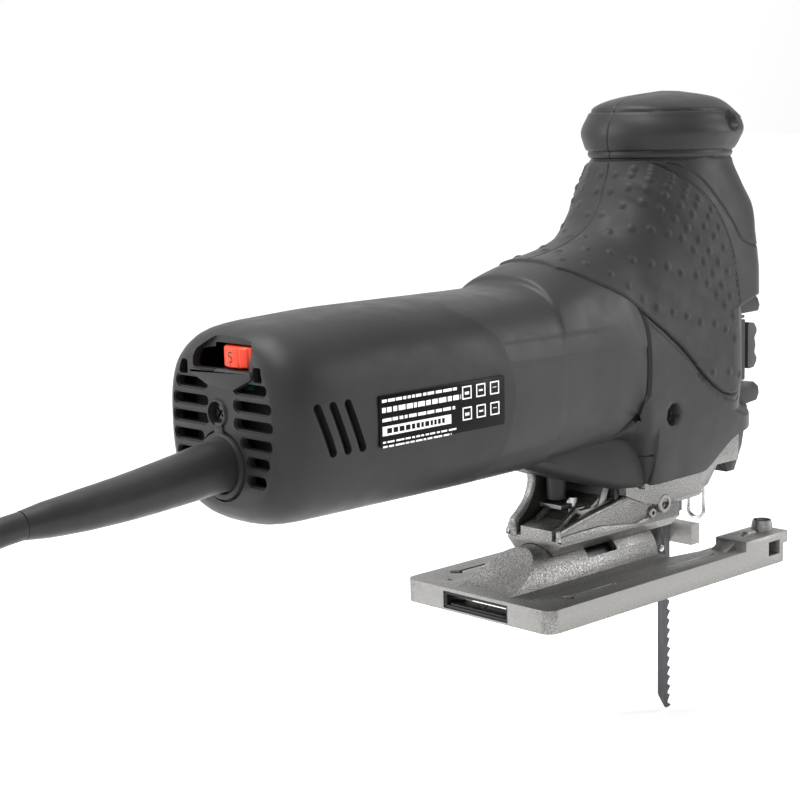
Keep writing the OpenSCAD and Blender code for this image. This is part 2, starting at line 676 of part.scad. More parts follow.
module orbit_lever() color([0.6, 0.6, 0.6]) {
    rod_y(nose_w + 0.3, 19.5, 4, -30, orbit_z);
    rod_y(14.2, nose_w + 0.4, 2.46, -30, orbit_z);
    side_plate(17.2, 19.5, [
        [-30, orbit_z - 3], [-30, orbit_z + 3], [-50, orbit_z + 3.5], [-54, orbit_z + 2], [-54, orbit_z - 0.5],
        [-50, orbit_z - 1.5]
    ]);
}

module opener_lever() color("black") difference() {
    side_plate(-8, 8, [[29, 53.5], [46, 53.5], [44, 45], [38.5, 34.5], [33, 34.5], [29, 47]]);
    rod_z(30, 54, 1.5 + run, 31, 6.5);
    side_plate(-6, 4, [[32, 55], [43.5, 55], [42, 45], [37.5, 37], [34.5, 37], [31.5, 46]]);
}

module opener_pin() color(steel) rod_z(36, 56.3, 1.5, 31, 6.5);

module led_lamp() color([0.95, 0.95, 0.85]) rod_z(36, 41, 1.6, 17, 0);

module wire_guard() color(steel) translate([22, 0, 0]) {
    for (y = [-4, 4]) rod_z(19, 46.5, 0.9, 0, y);
    translate([0, 0, 19]) rotate([0, 0, 90]) rotate([90, 0, 0]) rotate([0, 0, 180]) rotate_extrude(angle = 180, $fn = 48)
        translate([4, 0]) circle(r = 0.9, $fn = 24);
}

// ---- sole ----------------------------------------------------------------------------------

gap_rear = -22;          // rear end of the gap between the prongs
FENCE_SCREW = [28, 30];  // [x, distance from the middle plane]
boss_top = 17.5;

module base_outline() difference() {
    rounded_square(-sole_rear, sole_front, -sole_w / 2, sole_w / 2, 5);
    polygon([[gap_rear, -20], [-6, -23], [sole_front + 1, -23], [sole_front + 1, 8], [29, 8], [29, 20], [gap_rear, 20]]);
    translate([gap_rear, 0]) circle(r = 8, $fn = 48);
    for (side = [-1, 1]) {
        translate([-97, side * 29.5]) circle(r = 3.4, $fn = 4);
        translate([-96, side * 29.5 - 0.8]) square([27, 1.6]);
        translate([-107.5, side * 22.5]) circle(r = 1.1, $fn = 24);
        translate([-36, side * 30 - 0.9]) square([30, 1.8]);
    }
}

module rail_solid() difference() {
    rod_x(-sole_rear, gap_rear, rail_r, 0, tilt_z);
    block([-sole_rear - 1, -rail_r - 1, -rail_r], [gap_rear + 1, rail_r + 1, 0]);
    // spoon-shaped rear end
    translate([-125, 0, 50]) sphere(r = 45, $fn = 96);
}

port_w = 17;             // half width of the dust port
port_low = 0.8;          // floor of the port
port_high = 7.6;         // its roof
lip_t = 1.1;             // thickness of the insert in it

module base_plate() color(metal) difference() {
    union() {
        linear_extrude(height = sole_t) base_outline();
        rail_solid();
        for (side = [-1, 1]) {
            block([5, side > 0 ? 23 : -sole_w / 2, sole_t - 1], [34.5, side > 0 ? sole_w / 2 : -23, block_top]);
            rod_z(block_top - 1, boss_top, 3.8, FENCE_SCREW[0], side * FENCE_SCREW[1]);
        }
    }
    // tunnel under the rail, open along the sole, and the dust port at its rear
    rod_x(-86, gap_rear + 1, tunnel_r, 0, tilt_z);
    block([-86, -tunnel_r, -1], [gap_rear + 1, tunnel_r, tilt_z]);
    block([-sole_rear - 1, -port_w, port_low], [-84, port_w, port_high]);
    block([-104, -port_w, -1], [-84, port_w, port_high]);
    // window for the clamping bolt at every tilt and slide
    block([bolt_x - 4, -11.9, 13.6], [bolt_x + slide_len + 4, 11.9, 30]);
    // channel and set-screw thread for a rip fence
    for (side = [-1, 1]) {
        block([21, side > 0 ? 22 : -40, 4], [29, side > 0 ? 40 : -22, 10]);
        rod_z(9, boss_top + 1, 2.1, FENCE_SCREW[0], side * FENCE_SCREW[1]);
    }
}

module base_clamp_plate() color(dark_steel) difference() {
    rod_x(-84, -34, plate_r, 0, tilt_z);
    rod_x(-85, -33, plate_r - plate_t, 0, tilt_z);
    block([-85, -plate_r - 1, -plate_r], [-33, plate_r + 1, tilt_z + 2]);
    block([bolt_x - 3.3, -3.3, tilt_z], [bolt_x + slide_len + 3.3, 3.3, 25]);
}

module base_bolt() color(steel) difference() {
    head_top = 13.2;
    union() {
        rod_z(head_top, 38, 3, bolt_x, 0);
        rod_z(8.5, head_top, 5.5, bolt_x, 0);
    }
    translate([bolt_x, 0, 8]) cylinder(h = 3.5, r = 2.9, $fn = 6);
}

module dust_insert() color("black") difference() {
    w = port_w - 0.2;
    low = port_low + 0.1;
    high = port_high - 0.2;
    block([-sole_rear + 0.5, -w, low], [-106, w, high]);
    block([-sole_rear - 1, -w + lip_t, low + lip_t], [-105, w - lip_t, high - lip_t]);
}

motor_housing();
rear_cover();
handle_right();
handle_left();
grip_pad_right();
grip_pad_left();
fan_cover();
housing_screws();
rating_plate();
switch_bezel();
switch_slider();
switch_unit();
speed_dial();
speed_controller();
cord_guard();
cord_clamp();
power_cord();
cord_hank();
cord_tail();
cord_tie();
plug_body();
plug_pins();
stator_core();
field_coils();
armature_shaft();
armature_core();
armature_windings();
commutator();
fan();
rear_bearing();
front_bearing();
brush_holders();
carbon_brushes();
gear_housing();
drive_gear();
gear_pin();
crank_pin();
plunger_guide();
guide_bushes();
guide_pivot();
plunger();
blade_clamp();
clamp_sleeve();
saw_blade();
roller_retainer();
retainer_pin();
guide_roller();
roller_pin();
orbit_lever();
opener_lever();
opener_pin();
led_lamp();
wire_guard();
base_plate();
base_clamp_plate();
base_bolt();
dust_insert();
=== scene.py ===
import json
import math
import random

import bmesh
import bpy
import numpy as np
from mathutils import Matrix, Vector


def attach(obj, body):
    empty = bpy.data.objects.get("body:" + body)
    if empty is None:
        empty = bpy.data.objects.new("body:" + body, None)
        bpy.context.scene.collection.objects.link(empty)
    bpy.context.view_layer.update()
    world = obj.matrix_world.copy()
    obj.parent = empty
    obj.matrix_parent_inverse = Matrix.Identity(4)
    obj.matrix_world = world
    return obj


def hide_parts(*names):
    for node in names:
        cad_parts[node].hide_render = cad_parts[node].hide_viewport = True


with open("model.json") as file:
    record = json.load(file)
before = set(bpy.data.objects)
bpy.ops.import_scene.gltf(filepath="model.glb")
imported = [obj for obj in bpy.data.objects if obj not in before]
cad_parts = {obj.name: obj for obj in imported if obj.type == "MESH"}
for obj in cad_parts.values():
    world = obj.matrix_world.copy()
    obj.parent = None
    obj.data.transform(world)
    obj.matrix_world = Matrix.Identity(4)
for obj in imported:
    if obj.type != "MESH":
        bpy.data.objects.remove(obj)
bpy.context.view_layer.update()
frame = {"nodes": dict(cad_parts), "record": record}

# Lengths in this script are millimetres in the frame's own axes: X forward, Y left, Z up.
# mesh_piece() turns them into metres.
MM = 0.001

# ---- camera, floor and light ---------------------------------------------------------------

CAMERA_AT = (-600.7, -468.3, 192.6)
VIEW_DIR = (0.68147, 0.71464, -0.15777)
VIEW_UP = (0.12637, 0.09745, 0.98718)
FLOOR_Z = -67
FLOOR_HALF_M = 12  # half the floor's side, in metres


def make_camera():
    data = bpy.data.cameras.new("camera")
    data.lens = 81.466
    data.sensor_width = 36
    data.clip_start = 0.01
    cam = bpy.data.objects.new("camera", data)
    bpy.context.scene.collection.objects.link(cam)
    forward = Vector(VIEW_DIR).normalized()
    right = forward.cross(Vector(VIEW_UP)).normalized()
    up = right.cross(forward)
    rotation = Matrix((right, up, -forward)).transposed().to_4x4()
    cam.matrix_world = Matrix.Translation(Vector(CAMERA_AT) * MM) @ rotation
    bpy.context.scene.camera = cam


def area_light(name, at, aim, size, power):
    data = bpy.data.lights.new(name, "AREA")
    data.shape = "RECTANGLE"
    data.size, data.size_y = size
    data.energy = power
    lamp = bpy.data.objects.new(name, data)
    bpy.context.scene.collection.objects.link(lamp)
    lamp.location = at
    lamp.rotation_euler = (Vector(aim) - Vector(at)).to_track_quat("-Z", "Y").to_euler()


def make_stage():
    mesh = bpy.data.meshes.new("floor")
    corners = [(x * FLOOR_HALF_M, y * FLOOR_HALF_M, 0) for x, y in ((-1, -1), (1, -1), (1, 1), (-1, 1))]
    mesh.from_pydata(corners, [], [(0, 1, 2, 3)])
    floor = bpy.data.objects.new("floor", mesh)
    floor.location.z = (FLOOR_Z - 0.2) * MM
    bpy.context.scene.collection.objects.link(floor)
    material = bpy.data.materials.new("floor")
    material.use_nodes = True
    shader = material.node_tree.nodes["Principled BSDF"]
    for socket, value in (("Base Color", (0.93, 0.93, 0.93, 1)), ("Roughness", 0.9),
                          ("Specular IOR Level", 0.1),
                          ("Emission Color", (1, 1, 1, 1)), ("Emission Strength", 0.2)):
        shader.inputs[socket].default_value = value
    mesh.materials.append(material)
    world = bpy.data.worlds.new("studio")
    world.use_nodes = True
    tree = world.node_tree
    place = tree.nodes.new("ShaderNodeTexCoord")
    # the sky is brightest in this direction and darkest opposite it
    split = tree.nodes.new("ShaderNodeVectorMath")
    split.operation = "DOT_PRODUCT"
    split.inputs[1].default_value = (-0.62, 0.72, 0.3)
    ramp = tree.nodes.new("ShaderNodeValToRGB")
    for stop, (at, grey) in zip(ramp.color_ramp.elements, ((0.02, 0.22), (0.46, 1))):
        stop.position = at
        stop.color = (grey, grey, grey, 1)
    # from the range -1 to 1 to the range 0 to 1
    to_share = tree.nodes.new("ShaderNodeMath")
    to_share.operation = "MULTIPLY_ADD"
    to_share.inputs[1].default_value = 0.5
    to_share.inputs[2].default_value = 0.5
    tree.links.new(place.outputs["Generated"], split.inputs[0])
    tree.links.new(split.outputs["Value"], to_share.inputs[0])
    tree.links.new(to_share.outputs["Value"], ramp.inputs["Fac"])
    tree.links.new(ramp.outputs["Color"], tree.nodes["Background"].inputs["Color"])
    tree.nodes["Background"].inputs["Strength"].default_value = 1.0
    bpy.context.scene.world = world
    bpy.context.scene.view_settings.view_transform = "Standard"
    aim = (-0.08, 0, 0.08)
    area_light("top_softbox", (-0.35, 0.1, 1.1), aim, (0.9, 0.5), 10)
    area_light("left_softbox", (-1.0, 0.75, 0.55), aim, (0.5, 0.7), 6)
    area_light("front_strip", (0.85, -0.75, 0.45), aim, (0.25, 0.8), 5)


make_camera()
make_stage()

# ---- materials -------------------------------------------------------------------------------


class Shader:
    """One material: a Principled shader and helpers that hang nodes on it."""

    def __init__(self, name, color, rough, metallic=0.0, **constants):
        self.material = bpy.data.materials.new(name)
        self.material.use_nodes = True
        self.tree = self.material.node_tree
        self.bsdf = self.tree.nodes["Principled BSDF"]
        self.bsdf.inputs["Base Color"].default_value = (*color, 1)
        self.bsdf.inputs["Roughness"].default_value = rough
        self.bsdf.inputs["Metallic"].default_value = metallic
        for socket, value in constants.items():
            self.bsdf.inputs[socket.replace("_", " ")].default_value = value
        self.place = self.node("ShaderNodeTexCoord").outputs["Object"]

    def node(self, kind, **settings):
        made = self.tree.nodes.new(kind)
        for key, value in settings.items():
            setattr(made, key, value)
        return made

    def link(self, source, target):
        self.tree.links.new(source, target)

    def noise(self, size_mm, detail=3, stretch=(1, 1, 1)):
        mapping = self.node("ShaderNodeMapping")
        mapping.inputs["Scale"].default_value = stretch
        self.link(self.place, mapping.inputs["Vector"])
        noise = self.node("ShaderNodeTexNoise")
        noise.inputs["Scale"].default_value = 1 / (size_mm * MM)
        noise.inputs["Detail"].default_value = detail
        self.link(mapping.outputs["Vector"], noise.inputs["Vector"])
        return noise.outputs["Fac"]

    def cells(self, size_mm):
        cells = self.node("ShaderNodeTexVoronoi")
        cells.inputs["Scale"].default_value = 1 / (size_mm * MM)
        self.link(self.place, cells.inputs["Vector"])
        return cells.outputs["Distance"]

    def ramp(self, source, *stops):
        ramp = self.node("ShaderNodeValToRGB")
        elements = ramp.color_ramp.elements
        for i, (at, value) in enumerate(stops):
            element = elements[i] if i < 2 else elements.new(at)
            element.position = at
            element.color = (*value, 1) if hasattr(value, "__len__") else (value, value, value, 1)
        self.link(source, ramp.inputs["Fac"])
        return ramp.outputs["Color"]

    def mix(self, factor, first, second):
        mix = self.node("ShaderNodeMix", data_type="RGBA")
        for socket, value in ((0, factor), (6, first), (7, second)):
            if isinstance(value, bpy.types.NodeSocket):
                self.link(value, mix.inputs[socket])
            else:
                mix.inputs[socket].default_value = value
        return mix.outputs[2]

    def paint(self, source):
        self.link(source, self.bsdf.inputs["Base Color"])

    def roughness(self, source):
        self.link(source, self.bsdf.inputs["Roughness"])

    def bump(self, *layers):
        """layers are (height source, strength, distance in mm)"""
        normal = None
        for source, strength, distance in layers:
            bump = self.node("ShaderNodeBump")
            bump.inputs["Strength"].default_value = strength
            bump.inputs["Distance"].default_value = distance * MM
            self.link(source, bump.inputs["Height"])
            if normal:
                self.link(normal, bump.inputs["Normal"])
            normal = bump.outputs["Normal"]
        self.link(normal, self.bsdf.inputs["Normal"])

    def edge_wear(self, base, worn):
        """The base colour, and the worn one where an edge sticks out."""
        pointiness = self.node("ShaderNodeNewGeometry").outputs["Pointiness"]
        return self.mix(self.ramp(pointiness, (0.52, 0.0), (0.6, 1.0)), base, (*worn, 1))


def tinted(color, factor):
    return tuple(min(1.0, c * factor) for c in color)


def moulded(name, color, rough, grain_mm=0.5, grain=0.25, cloud=0.12, specular=0.32):
    """Plastic with a spark-eroded grain, faint flow clouding and slightly polished edges."""
    s = Shader(name, color, rough, Specular_IOR_Level=specular)
    clouds = s.noise(28, 4)
    tone = s.ramp(clouds, (0.3, tinted(color, 1 - cloud)), (0.7, tinted(color, 1 + cloud)))
    s.paint(s.edge_wear(tone, tinted(color, 1.35)))
    fine = s.noise(grain_mm, 2)
    s.roughness(s.ramp(s.noise(9, 5), (0.3, rough - 0.05), (0.7, rough + 0.06)))
    s.bump((clouds, 0.08, 0.5), (fine, grain, 0.05))
    return s.material


def elastomer(name, color, rough=0.62):
    """Soft rubbery moulding: matt, a little sheen, dust in its grain."""
    s = Shader(name, color, rough, Specular_IOR_Level=0.35, Sheen_Weight=0.12, Sheen_Roughness=0.4)
    dust = s.noise(14, 6)
    s.paint(s.mix(s.ramp(dust, (0.45, 0.0), (0.8, 0.5)), (*color, 1), (*tinted(color, 1.7), 1)))
    s.roughness(s.ramp(s.noise(6, 4), (0.3, rough - 0.06), (0.7, rough + 0.08)))
    s.bump((s.noise(0.35, 2), 0.22, 0.04), (s.noise(3, 4), 0.05, 0.2))
    return s.material


def cast_metal(name, color, rough=0.46, speck=0.45):
    """Blasted die casting: sparkling specks, fine pits and smoother worn edges."""
    s = Shader(name, color, rough, 1.0)
    specks = s.noise(0.5, 3)
    clouds = s.noise(7, 5)
    tone = s.ramp(specks, (0.3, tinted(color, 1 - speck)), (0.48, color), (0.68, tinted(color, 1 + speck)))
    tone = s.mix(s.ramp(clouds, (0.35, 0.0), (0.75, 0.3)), tone, (*tinted(color, 0.78), 1))
    s.paint(s.edge_wear(tone, tinted(color, 1.3)))
    s.roughness(s.ramp(s.noise(1.1, 3), (0.3, rough - 0.12), (0.7, rough + 0.14)))
    s.bump((s.cells(0.9), 0.25, 0.08), (specks, 0.35, 0.06), (clouds, 0.1, 0.3))
    return s.material


def machined(name, color, rough, lines_mm, along):
    """Ground or turned metal with fine marks running along one axis."""
    s = Shader(name, color, rough, 1.0)
    stretch = {"x": (0.04, 1, 1), "y": (1, 0.04, 1), "z": (1, 1, 0.04)}[along]
    lines = s.noise(lines_mm, 3, stretch)
    stains = s.noise(12, 5)
    tone = s.ramp(lines, (0.3, tinted(color, 0.82)), (0.7, tinted(color, 1.15)))
    s.paint(s.mix(s.ramp(stains, (0.4, 0.0), (0.8, 0.25)), tone, (*tinted(color, 0.7), 1)))
    s.roughness(s.ramp(s.noise(5, 4), (0.3, rough - 0.07), (0.7, rough + 0.1)))
    s.bump((lines, 0.15, 0.03))
    return s.material


def wound_wire(name, color):
    """Enamelled winding: rows of round wire."""
    s = Shader(name, color, 0.35, 0.6, Coat_Weight=0.4)
    wave = s.node("ShaderNodeTexWave")
    wave.inputs["Scale"].default_value = 900
    wave.inputs["Distortion"].default_value = 1.5
    s.link(s.place, wave.inputs["Vector"])
    s.paint(s.ramp(wave.outputs["Fac"], (0.2, tinted(color, 0.5)), (0.8, tinted(color, 1.2))))
    s.bump((wave.outputs["Fac"], 0.5, 0.2))
    return s.material


def clear_lens(name, color):
    s = Shader(name, color, 0.08, Transmission_Weight=0.7, IOR=1.5)
    s.bump((s.noise(1.2, 2), 0.05, 0.05))
    return s.material


FINISH = {name: maker(name, *values) for name, maker, *values in (
    ("housing_plastic", moulded, (0.015, 0.015, 0.0152), 0.44),
    ("grip_rubber", elastomer, (0.014, 0.014, 0.0145), 0.56),
    ("fasteners", machined, (0.09, 0.09, 0.095), 0.38, 0.4, "x"),
    ("label", moulded, (0.0015, 0.0015, 0.0016), 0.3, 0.8, 0.05, 0.05, 0.1),
    ("bezel_plastic", moulded, (0.075, 0.075, 0.07), 0.38),
    ("slider_rubber", elastomer, (0.05, 0.05, 0.052), 0.5),
    ("black_plastic", moulded, (0.011, 0.011, 0.012), 0.3, 0.6, 0.12),
    ("dial_plastic", moulded, (0.72, 0.055, 0.022), 0.36, 0.5, 0.12),
    ("circuit_board", moulded, (0.02, 0.12, 0.05), 0.4),
    ("cord_rubber", elastomer, (0.012, 0.012, 0.0125), 0.4),
    ("plated_pins", machined, (0.72, 0.7, 0.66), 0.2, 0.3, "x"),
    ("lamination_steel", machined, (0.3, 0.3, 0.32), 0.45, 0.5, "z"),
    ("copper_wire", wound_wire, (0.5, 0.18, 0.06)),
    ("turned_steel", machined, (0.58, 0.58, 0.59), 0.25, 0.2, "y"),
    ("commutator_copper", machined, (0.75, 0.36, 0.2), 0.3, 0.2, "y"),
    ("fan_plastic", moulded, (0.45, 0.42, 0.33), 0.5),
    ("brush_board", moulded, (0.14, 0.05, 0.02), 0.5),
    ("carbon", moulded, (0.02, 0.02, 0.02), 0.7),
    ("cast_aluminium", cast_metal, (0.235, 0.232, 0.225), 0.46, 0.8),
    ("dark_steel", machined, (0.06, 0.06, 0.065), 0.36, 0.5, "z"),
    ("bush_bronze", machined, (0.5, 0.34, 0.14), 0.4, 0.3, "y"),
    ("blade_steel", machined, (0.085, 0.085, 0.09), 0.34, 0.35, "z"),
    ("lever_zinc", cast_metal, (0.26, 0.26, 0.26), 0.42, 0.5),
    ("lamp_lens", clear_lens, (0.9, 0.9, 0.85)),
    ("bright_wire", machined, (0.68, 0.68, 0.67), 0.2, 0.3, "z"),
    ("machined_aluminium", machined, (0.72, 0.72, 0.71), 0.3, 0.3, "y"),
    ("label_ink", moulded, (0.75, 0.75, 0.74), 0.5, 1, 0.05, 0.05),
    ("barrel_plastic", moulded, (0.024, 0.0238, 0.0235), 0.42, 0.7, 0.14, 0.08),
    # darkened casting colour: painted shade for the channel under the barrel
    ("cast_recess", cast_metal, (0.06, 0.058, 0.054), 0.6, 0.6),
    ("vent_shadow", moulded, (0.006, 0.006, 0.006), 0.8),
    ("release_gloss", moulded, (0.008, 0.008, 0.009), 0.12, 0.8, 0.04, 0.05),
)}

# ---- mesh helpers ------------------------------------------------------------------------------

NODE_SLOT = {row["node"]: row["material_slot"] for row in frame["record"]["subparts"]}


def mesh_piece(name, verts, faces, body, slot, finish=None, sharp=35, stands_for=()):
    """Makes a piece from points in millimetres."""
    mesh = bpy.data.meshes.new(name)
    mesh.from_pydata([tuple(p) for p in np.asarray(verts, float) * MM], [], faces)
    return finish_piece(name, mesh, body, slot, finish, sharp, stands_for)


def finish_piece(name, mesh, body, slot, finish=None, sharp=35, stands_for=()):
    mesh.validate()
    obj = bpy.data.objects.new(name, mesh)
    bpy.context.scene.collection.objects.link(obj)
    mesh.materials.append(FINISH[finish or slot])
    mesh.shade_smooth()
    mesh.set_sharp_from_angle(angle=math.radians(sharp))
    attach(obj, body)
    if stands_for:
        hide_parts(*stands_for)
    return obj


def grid_faces(m, n, closed_n=True):
    """Quads of m rings of n points each."""
    i, j = np.meshgrid(np.arange(m - 1), np.arange(n if closed_n else n - 1), indexing="ij")
    k = (j + 1) % n
    quads = np.stack([i * n + j, i * n + k, (i + 1) * n + k, (i + 1) * n + j], -1)
    return quads.reshape(-1, 4).tolist()


def loop_faces(m, n):
    """Quads of m rings of n points each, where the last ring joins the first."""
    return [[i * n + j, i * n + (j + 1) % n, (i + 1) % m * n + (j + 1) % n, (i + 1) % m * n + j]
            for i in range(m) for j in range(n)]


# Faces of a solid between two outlines of four corners each
PRISM = [[3, 2, 1, 0], [4, 5, 6, 7], [0, 1, 5, 4], [1, 2, 6, 5], [2, 3, 7, 6], [3, 0, 4, 7]]


def closed_loft(rings):
    """Rings of equal point counts, capped at both ends: (verts, faces)."""
    rings = np.asarray(rings, float)
    m, n = rings.shape[:2]
    faces = grid_faces(m, n)
    faces.append(list(range(n - 1, -1, -1)))
    faces.append([(m - 1) * n + j for j in range(n)])
    return rings.reshape(-1, 3), faces


def smoothstep(v, low, high):
    t = np.clip((v - low) / (high - low), 0, 1)
    return t * t * (3 - 2 * t)


def join_parts(parts):
    """Several (verts, faces) as one."""
    verts, faces, base = [], [], 0
    for v, f in parts:
        verts.append(np.asarray(v, float))
        faces += [[base + i for i in face] for face in f]
        base += len(v)
    return np.concatenate(verts), faces


PLANES = {"side": (0, 2, 1), "front": (1, 2, 0), "top": (0, 1, 2)}


def plate(outline, lo, hi, plane="side", bevel=0.5, segments=2):
    """A bevelled plate: its outline is drawn in the side (x, z), front (y, z) or top (x, y) view."""
    a, b, c = PLANES[plane]
    bm = bmesh.new()
    rings = []
    for level in (lo, hi):
        ring = []
        for p in outline:
            co = [0.0, 0.0, 0.0]
            co[a], co[b], co[c] = p[0], p[1], level
            ring.append(bm.verts.new(co))
        rings.append(ring)
    n = len(outline)
    bm.faces.new(rings[0])
    bm.faces.new(rings[1][::-1])
    for j in range(n):
        bm.faces.new([rings[0][j], rings[1][j], rings[1][(j + 1) % n], rings[0][(j + 1) % n]])
    bmesh.ops.recalc_face_normals(bm, faces=bm.faces)
    if bevel:
        bmesh.ops.bevel(bm, geom=bm.edges[:], offset=bevel, segments=segments, profile=0.5,
                        affect="EDGES", clamp_overlap=True)
    return take(bm)


def take(bm):
    """(verts, faces) of a bmesh, which is freed."""
    bm.verts.index_update()
    verts = [tuple(v.co) for v in bm.verts]
    faces = [[v.index for v in f.verts] for f in bm.faces]
    bm.free()
    return verts, faces


def rect(a0, a1, b0, b1):
    return [(a0, b0), (a1, b0), (a1, b1), (a0, b1)]


def span(side, near, far):
    """The stretch of Y from near to far on the left (side 1), or its mirror image on the right (side -1)."""
    return (near, far) if side > 0 else (-far, -near)


def box(lo, hi, bevel):
    return plate(rect(lo[0], hi[0], lo[2], hi[2]), lo[1], hi[1], "side", bevel)


def arc(cx, cy, r, start, end, count=8):
    return [(cx + r * math.cos(math.radians(q)), cy + r * math.sin(math.radians(q)))
            for q in np.linspace(start, end, count)]


def round_outline(points, radii, count=5):
    """The outline with each corner rounded."""
    out = []
    n = len(points)
    radii = radii if hasattr(radii, "__len__") else [radii] * n
    for i, p in enumerate(points):
        p = Vector(p)
        a = (Vector(points[i - 1]) - p).normalized()
        b = (Vector(points[(i + 1) % n]) - p).normalized()
        half = math.acos(max(-1, min(1, a.dot(b)))) / 2
        r = radii[i]
        if r < 1e-6 or half > 1.5:
            out.append(tuple(p))
            continue
        reach = r / math.tan(half)
        centre = p + (a + b).normalized() * (r / math.sin(half))
        first, last = p + a * reach - centre, p + b * reach - centre
        for t in np.linspace(0, 1, count):
            out.append(tuple(centre + first.slerp(last, t) if first.angle(last) > 1e-4 else centre + first))
    return out


def lathe(profile, origin, axis, count=48, closed=False):
    """profile is [(along the axis, radius)], turned about axis through origin; a closed one is a loop."""
    w = Vector(axis).normalized()
    u = w.orthogonal().normalized()
    v = w.cross(u)
    rings = []
    for along, r in profile:
        rings.append([tuple(Vector(origin) + w * along + (u * math.cos(q) + v * math.sin(q)) * max(r, 1e-4))
                      for q in np.linspace(0, 2 * math.pi, count, endpoint=False)])
    if closed:
        return [p for ring in rings for p in ring], loop_faces(len(rings), count)
    return closed_loft(rings)


def rounded_rod(start, end, r, bevel=0.4, count=32):
    """A rod with softened rims."""
    length = (Vector(end) - Vector(start)).length
    profile = [(0, r - bevel), (bevel * 0.3, r - bevel * 0.3), (bevel, r), (length - bevel, r),
               (length - bevel * 0.3, r - bevel * 0.3), (length, r - bevel)]
    return lathe(profile, start, Vector(end) - Vector(start), count)


def catmull_rom(p0, p1, p2, p3, t):
    """The point at a share t of the way from p1 to p2."""
    return 0.5 * (2 * p1 + (p2 - p0) * t + (2 * p0 - 5 * p1 + 4 * p2 - p3) * t ** 2
                  + (3 * p1 - p0 - 3 * p2 + p3) * t ** 3)


def smooth_path(points, step=2.0):
    """Catmull-Rom through the points, about one point per step."""
    p = np.asarray(points, float)
    p = np.vstack([2 * p[0] - p[1], p, 2 * p[-1] - p[-2]])
    out = []
    for i in range(1, len(p) - 2):
        count = max(2, int(np.linalg.norm(p[i + 1] - p[i]) / step))
        for t in np.linspace(0, 1, count, endpoint=False):
            out.append(catmull_rom(*p[i - 1:i + 3], t))
    out.append(p[-2])
    return np.array(out)


def tube(path, radii, count=24):
    """A round tube along the path with parallel-transported rings."""
    path = np.asarray(path, float)
    radii = np.broadcast_to(radii, len(path))
    tangents = np.gradient(path, axis=0)
    tangents /= np.linalg.norm(tangents, axis=1)[:, None]
    u = np.cross(tangents[0], (0, 1, 0.01))
    u /= np.linalg.norm(u)
    q = np.linspace(0, 2 * math.pi, count, endpoint=False)
    rings = []
    for p, t, r in zip(path, tangents, radii):
        u = u - t * np.dot(u, t)
        u /= np.linalg.norm(u)
        v = np.cross(t, u)
        rings.append(p + r * (np.cos(q)[:, None] * u + np.sin(q)[:, None] * v))
    return closed_loft(rings)


def arc_length(p, axis=0):
    """Length run along one axis of a row or a grid of points, from 0."""
    steps = np.linalg.norm(np.diff(p, axis=axis), axis=-1)
    start = np.zeros_like(np.take(steps, [0], axis=axis))
    return np.concatenate([start, np.cumsum(steps, axis=axis)], axis=axis)


def cut(obj, cutters):
    """Cuts (verts, faces) solids out of a piece."""
    tools = []
    for verts, faces in cutters:
        mesh = bpy.data.meshes.new("cutter")
        mesh.from_pydata([tuple(p) for p in np.asarray(verts, float) * MM], [], faces)
        bm = bmesh.new()
        bm.from_mesh(mesh)
        bmesh.ops.recalc_face_normals(bm, faces=bm.faces)
        bm.to_mesh(mesh)
        bm.free()
        tool = bpy.data.objects.new("cutter", mesh)
        bpy.context.scene.collection.objects.link(tool)
        tools.append(tool)
        modifier = obj.modifiers.new("cut", "BOOLEAN")
        modifier.object = tool
        modifier.operation = "DIFFERENCE"
        modifier.solver = "EXACT"
    bpy.context.view_layer.update()
    graph = bpy.context.evaluated_depsgraph_get()
    result = bpy.data.meshes.new_from_object(obj.evaluated_get(graph))
    obj.modifiers.clear()
    obj.data = result
    for tool in tools:
        bpy.data.objects.remove(tool)


def resharpen(obj, angle):
    obj.data.shade_smooth()
    obj.data.set_sharp_from_angle(angle=math.radians(angle))


def make_solid_outward(obj):
    bm = bmesh.new()
    bm.from_mesh(obj.data)
    bmesh.ops.recalc_face_normals(bm, faces=bm.faces)
    bm.to_mesh(obj.data)
    bm.free()


def solid_piece(*described, resharp=None, **more):
    """mesh_piece() for a solid: turns its faces outward, and marks sharp edges above resharp degrees."""
    piece = mesh_piece(*described, **more)
    make_solid_outward(piece)
    if resharp:
        resharpen(piece, resharp)
    return piece


# ---- mains lead: guard, cord, hank, plug ---------------------------------------------------------

CORD_D = 9
CORD_ROUTE = [
    (-314, 0, 71), (-322, 0, 70), (-332, -0.5, 68), (-344, -2, 63.5), (-355, -4, 56.5), (-365, -7, 47.5),
    (-374, -11, 37), (-383, -15.5, 25), (-392, -20, 12.5), (-402, -25, 0), (-413, -29.5, -12.5),
    (-425, -33, -23), (-438, -35.2, -31), (-450, -36, -35),
]
TAIL_ROUTE = [(-500, -36, -62.5), (-515, -35.7, -62.5), (-530, -33.5, -61.8), (-545, -29.5, -60.2),
              (-562, -25, -58.5)]
GUARD_ROUTE = [(-230, 0, 78.2), (-240, 0, 77.7), (-255, 0, 75.7), (-275, 0, 73.4), (-295, 0, 71.9),
               (-314, 0, 71)]
HANK_X = -467.5
HANK_RUN = 75  # straight part of a turn
FOLD_R = 31.5  # mean radius of the folds
# The cord fills these places in turn: [fold radius, layer above the floor]
HANK_PLACES = np.array([(36, 3), (27, 3), (27, 2), (36, 2), (36, 1), (27, 1), (27, 0), (36, 0)], float)
TURN_POINTS = 36
# The cord follows the routes' points ahead of HANK_IN and behind HANK_OUT, and the turns between them
HANK_IN = -445
HANK_OUT = -510
PLUG_REAR = -560
PLUG_LEN = 67
PLUG_Y = -24
PLUG_Z = -58.4


